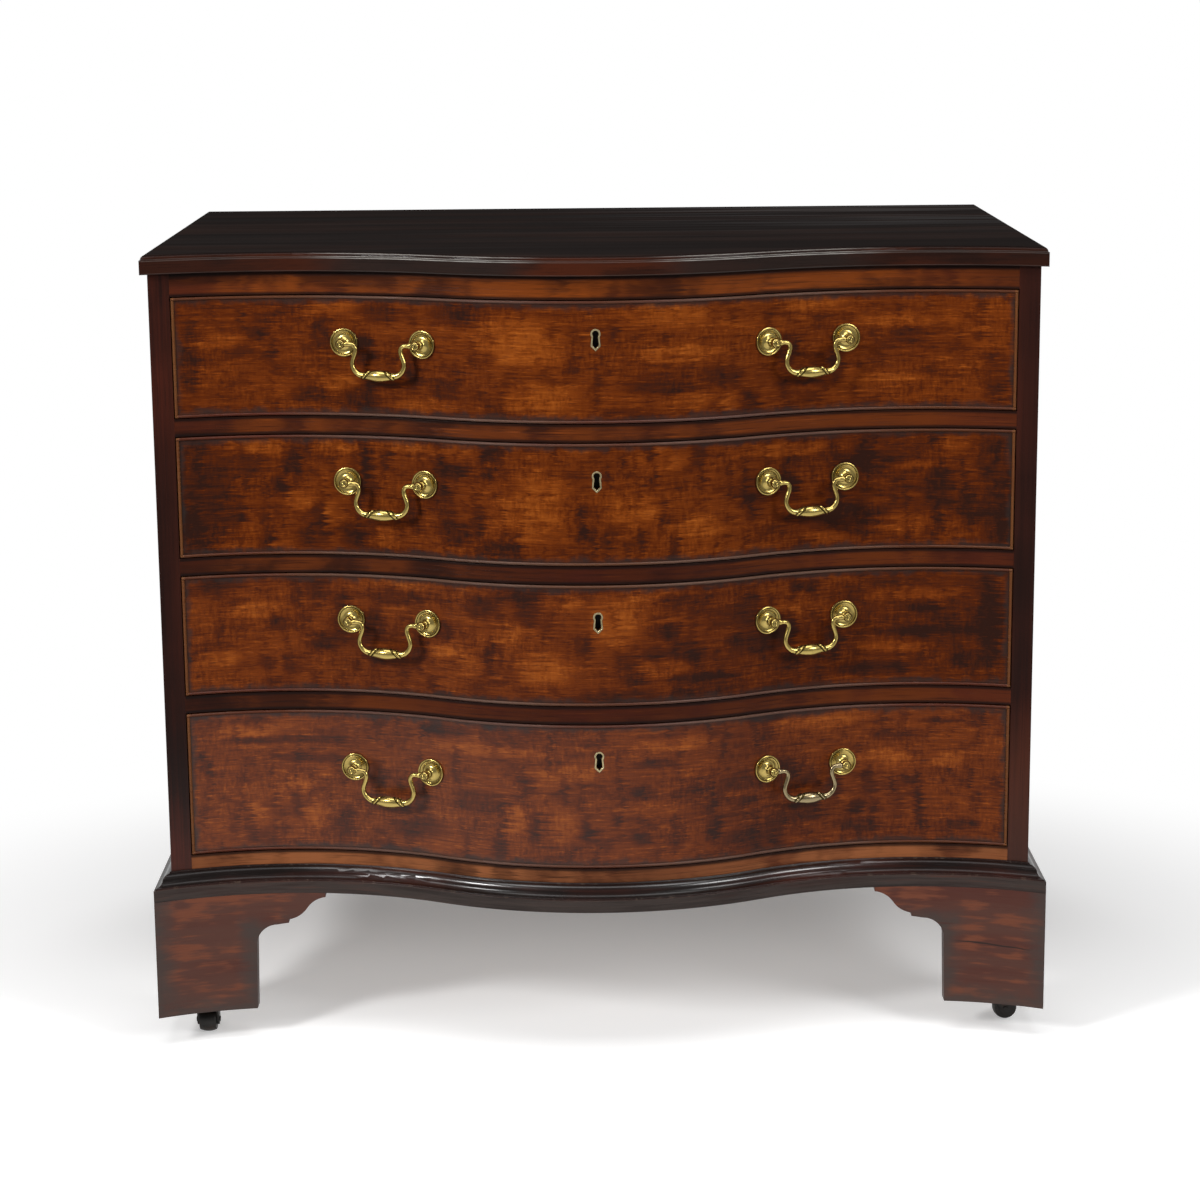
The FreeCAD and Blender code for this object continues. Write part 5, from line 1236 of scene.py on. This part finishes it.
class CHEST_OT_handle_mounts(ChestOperator, bpy.types.Operator):
    """Turn the brass posts and dished roses and set them on the drawer fronts"""

    bl_idname = "chest.handle_mounts"
    bl_label = "Handle mounts"

    def make(self, tones, sizes):
        brass = brass_finish("mount_brass", tones)
        pattern = turned("mount_pattern", MOUNT_OUTLINE)
        mark_recess(pattern, mount_recess)
        pattern.data.materials.append(brass)
        for number in DRAWERS:
            hinge = hinge_height(number)
            stances = [
                post_stance(x, side, hinge) for side in (-1, 1) for x in (sizes.inner_post, sizes.outer_post)]
            mounts = joined(f"drawer_{number}_mounts", [placed_copy(pattern, stance) for stance in stances])
            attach(mounts, f"drawer_{number}")
            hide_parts(f"drawer_{number}_handle_mounts")
        bpy.data.objects.remove(pattern)


class CHEST_OT_bails(ChestOperator, bpy.types.Operator):
    """Forge the swan-neck bails and hang them between their posts"""

    bl_idname = "chest.bails"
    bl_label = "Bails"

    def make(self, tones, sizes):
        brass = brass_finish("bail_brass", tones)
        worn = brass_finish("worn_bail_brass", tones, tones.silvered, WORN_PATINA)
        half = make_bail_pattern(sizes)
        other = placed_copy(half, Matrix.Diagonal((-1, 1, 1, 1)))
        pattern = joined("bail_pattern", [half, other])
        bpy.ops.object.mode_set(mode="EDIT")
        bpy.ops.mesh.select_all(action="SELECT")
        bpy.ops.mesh.remove_doubles(threshold=SEAM_DISTANCE)
        for side in (-1, 1):
            centre = (side * RIDGE_PLACE, 0, RIDGE_LIFT - sizes.grip_drop)
            bpy.ops.mesh.select_all(action="DESELECT")
            bpy.ops.mesh.primitive_torus_add(
                major_segments=RIDGE_STEPS, minor_segments=RIDGE_SIDES, major_radius=RIDGE_REACH,
                minor_radius=RIDGE_THICKNESS, location=centre,
                rotation=(0, math.pi / 2 - side * RIDGE_SLANT, 0))
            bpy.ops.transform.resize(value=(1, RIDGE_FLATNESS, 1), center_override=centre)
        finish_editing(pattern, BAIL_SMOOTHING)
        smooth = pattern.modifiers.new("smooth", "SUBSURF")
        smooth.levels = smooth.render_levels = 1
        bpy.ops.object.modifier_apply(modifier=smooth.name)
        mark_recess(pattern, functools.partial(bail_recess, sizes))
        for number in DRAWERS:
            for hand in ("left", "right"):
                name = f"drawer_{number}_{hand}_bail"
                joint = joint_named(name + "_swing")
                along = Vector(joint["axis"])
                turn = math.atan2(-along.y, -along.x)
                place = Matrix.Translation(joint["pos_m"]) @ Matrix.Rotation(turn, 4, "Z")
                bail = placed_copy(pattern, place)
                bail.name = bail.data.name = name + "_brass"
                bail.data.materials.append(worn if name == WORN_BAIL else brass)
                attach(bail, name)
                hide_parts(name)
        bpy.data.objects.remove(pattern)


class CHEST_OT_locks(ChestOperator, bpy.types.Operator):
    """Finish the brass keyhole threads, locks and bolts"""

    bl_idname = "chest.locks"
    bl_label = "Locks"

    def make(self, tones, sizes):
        dress(lock_finish(tones), *(f"drawer_{number}_lock" for number in DRAWERS))
        dress(brass_finish("bolt_brass", tones), *(f"drawer_{number}_lock_bolt" for number in DRAWERS))


class CHEST_OT_castors(ChestOperator, bpy.types.Operator):
    """Finish the castors under the feet"""

    bl_idname = "chest.castors"
    bl_label = "Castors"

    def make(self, tones, sizes):
        forks = [corner + "_castor_fork" for corner in CORNERS]
        rollers = [corner + "_castor_roller" for corner in CORNERS]
        dress(iron_finish(tones), "castor_plates", *forks, *rollers)


# Stage

# The camera, fitted to the photograph: its place in metres and how far it turns right, looks down and leans
CAMERA_PLACE = (-0.0160, -3.4085, 1.1865)
CAMERA_YAW = math.radians(0.3381)
CAMERA_PITCH = math.radians(12.1494)
CAMERA_ROLL = math.radians(0.5099)
FOCAL_LENGTH = 88.23
SENSOR_WIDTH = 36

# The softboxes: place, aim, width and height in metres, and power in watts
SOFTBOXES = {
    "key": ((-2.3, -2.3, 2.1), (0, -0.2, 0.5), 0.6, 0.6, 68),
    "fill": ((2.3, -2.3, 2.0), (0, -0.2, 0.5), 1.0, 1.0, 46),
    "overhead": ((0, -0.9, 2.6), (0, -0.2, 0.6), 2.4, 0.9, 30),
}

WHITE = (1, 1, 1, 1)
# The surroundings: their light, and how far polish mirrors them in front of the chest as against behind it
ROOM_LEVEL = 0.17
MIRRORED_AHEAD = 0.16
MIRRORED_TURN = 0.15

# The floor in metres: its size and place, its tone, its own light, and the oval in which it fades to white
FLOOR_SIZE = (4.8, 4.2, 1)
FLOOR_SHIFT = (0, 0.3, 0)
FLOOR_COLOUR = (0.82, 0.82, 0.82, 1)
FLOOR_LIFT = 0.38
FLOOR_NARROWING = 0.8
FADE_REACH = (0.52, 0.98)
# The deeper shade under the chest: how far back it begins, how far out it ends, and its strength
UNDER_FROM = (-0.08, 0.28)
UNDER_TO = (0.60, 0.42)
UNDER_SHADE = 0.45


def set_camera():
    """A camera at the photograph's viewing angle."""
    ahead = Vector((math.sin(CAMERA_YAW), math.cos(CAMERA_YAW), 0)) * math.cos(CAMERA_PITCH)
    ahead.z = -math.sin(CAMERA_PITCH)
    right = Vector((math.cos(CAMERA_YAW), -math.sin(CAMERA_YAW), 0))
    down = ahead.cross(right)
    rolled_right = right * math.cos(CAMERA_ROLL) + down * math.sin(CAMERA_ROLL)
    rolled_down = down * math.cos(CAMERA_ROLL) - right * math.sin(CAMERA_ROLL)
    lens = bpy.data.cameras.new("camera")
    lens.sensor_width = SENSOR_WIDTH
    lens.lens = FOCAL_LENGTH
    camera = bpy.data.objects.new("camera", lens)
    bpy.context.collection.objects.link(camera)
    axes = Matrix((rolled_right, -rolled_down, -ahead)).transposed()
    camera.matrix_world = Matrix.Translation(CAMERA_PLACE) @ axes.to_4x4()
    bpy.context.scene.camera = camera


def add_softbox(name, place, aim, width, height, power):
    """A rectangular lamp turned towards a point."""
    light = bpy.data.lights.new(name, "AREA")
    light.shape = "RECTANGLE"
    light.size = width
    light.size_y = height
    light.energy = power
    lamp = bpy.data.objects.new(name, light)
    bpy.context.collection.objects.link(lamp)
    lamp.location = place
    lamp.rotation_euler = (Vector(aim) - Vector(place)).to_track_quat("-Z", "Y").to_euler()


def seen_rays(nodes):
    """1 for rays of the camera, then 1 for rays of mirrors and glass."""
    camera, mirror, glass = (
        nodes.node("ShaderNodeLightPath", {}, {}, f"Is {kind} Ray")
        for kind in ("Camera", "Glossy", "Transmission"))
    return camera, mirror.most(glass)


def set_surroundings():
    """White to the camera, a plain level of light on the chest, and brighter behind it in its polish."""
    world = bpy.data.worlds.new("surroundings")
    world.use_nodes = True
    bpy.context.scene.world = world
    room = Nodes(world.node_tree)
    camera, mirrored = seen_rays(room)
    way = room.node("ShaderNodeTexCoord", {}, {}, "Generated")
    ahead = room.node("ShaderNodeSeparateXYZ", {}, {"Vector": way}, 1)
    turn = {"Value": ahead, "From Min": -MIRRORED_TURN, "From Max": MIRRORED_TURN}
    behind = room.node("ShaderNodeMapRange", {}, turn)
    seen = camera.most(mirrored * (behind * (1 - MIRRORED_AHEAD) + MIRRORED_AHEAD))
    plain = room.node("ShaderNodeBackground", {}, {"Color": WHITE, "Strength": ROOM_LEVEL})
    white = room.node("ShaderNodeBackground", {}, {"Color": WHITE, "Strength": 1.0})
    mixed = room.node("ShaderNodeMixShader", {}, {0: seen, 1: plain, 2: white})
    room.node("ShaderNodeOutputWorld", {}, {"Surface": mixed})


def add_floor():
    """A pale floor that takes the chest's shadow and fades to white away from it."""
    piece = start_editing("floor", bpy.ops.mesh.primitive_plane_add, size=1)
    bpy.ops.transform.resize(value=FLOOR_SIZE)
    bpy.ops.transform.translate(value=FLOOR_SHIFT)
    bpy.ops.object.mode_set(mode="OBJECT")
    floor = Finish("floor")
    around = floor.point(floor.x * FLOOR_NARROWING, floor.y, 0.0)
    spread = floor.node("ShaderNodeVectorMath", {"operation": "LENGTH"}, {0: around}, "Value")
    far = floor.ramp(spread, *FADE_REACH)
    camera, mirrored = seen_rays(floor)
    pale = floor.node("ShaderNodeBsdfDiffuse", {}, {"Color": FLOOR_COLOUR})
    lift = floor.node("ShaderNodeEmission", {}, {"Color": WHITE, "Strength": FLOOR_LIFT})
    lifted = floor.node("ShaderNodeAddShader", {}, {0: pale, 1: lift})
    under = floor.ramp(floor.y, *UNDER_FROM) * floor.ramp(spread, *UNDER_TO) * UNDER_SHADE
    near = floor.node("ShaderNodeMixShader", {}, {0: under, 1: lifted, 2: pale})
    white = floor.node("ShaderNodeEmission", {}, {"Color": WHITE, "Strength": 1.0})
    shown = floor.node("ShaderNodeMixShader", {}, {0: far, 1: near, 2: white})
    surface = floor.node("ShaderNodeMixShader", {}, {0: camera.most(mirrored), 1: pale, 2: shown})
    floor.node("ShaderNodeOutputMaterial", {}, {"Surface": surface})
    piece.data.materials.append(floor.material)


class CHEST_OT_stage(ChestOperator, bpy.types.Operator):
    """Set the camera, the softboxes, the white surroundings and the pale floor"""

    bl_idname = "chest.stage"
    bl_label = "Stage"

    def make(self, tones, sizes):
        bpy.context.scene.view_settings.view_transform = "Standard"
        set_camera()
        for name, lamp in SOFTBOXES.items():
            add_softbox(name, *lamp)
        set_surroundings()
        add_floor()


OPERATORS = (
    CHEST_OT_drawer_fronts, CHEST_OT_carcass, CHEST_OT_cockbeads, CHEST_OT_linings, CHEST_OT_handle_mounts,
    CHEST_OT_bails, CHEST_OT_locks, CHEST_OT_castors, CHEST_OT_stage,
)


class CHEST_PT_panel(bpy.types.Panel):
    """The pieces of the chest, in the order they are made"""

    bl_idname = "CHEST_PT_panel"
    bl_label = "Serpentine chest"
    bl_space_type = "VIEW_3D"
    bl_region_type = "UI"
    bl_category = "Chest"

    def draw(self, context):
        for group in (context.scene.chest_colours, context.scene.chest_sizes):
            column = self.layout.column()
            for name in type(group).__annotations__:
                column.prop(group, name)
        for operator in OPERATORS:
            self.layout.operator(operator.bl_idname)


CLASSES = (ChestColours, ChestSizes, *OPERATORS, CHEST_PT_panel)


def register():
    for each in CLASSES:
        bpy.utils.register_class(each)
    bpy.types.Scene.chest_colours = bpy.props.PointerProperty(type=ChestColours)
    bpy.types.Scene.chest_sizes = bpy.props.PointerProperty(type=ChestSizes)


def unregister():
    del bpy.types.Scene.chest_sizes
    del bpy.types.Scene.chest_colours
    for each in reversed(CLASSES):
        bpy.utils.unregister_class(each)


def main():
    register()
    bpy.ops.object.select_all(action="DESELECT")
    for operator in OPERATORS:
        area, name = operator.bl_idname.split(".")
        getattr(getattr(bpy.ops, area), name)()


if __name__ == "__main__":
    main()
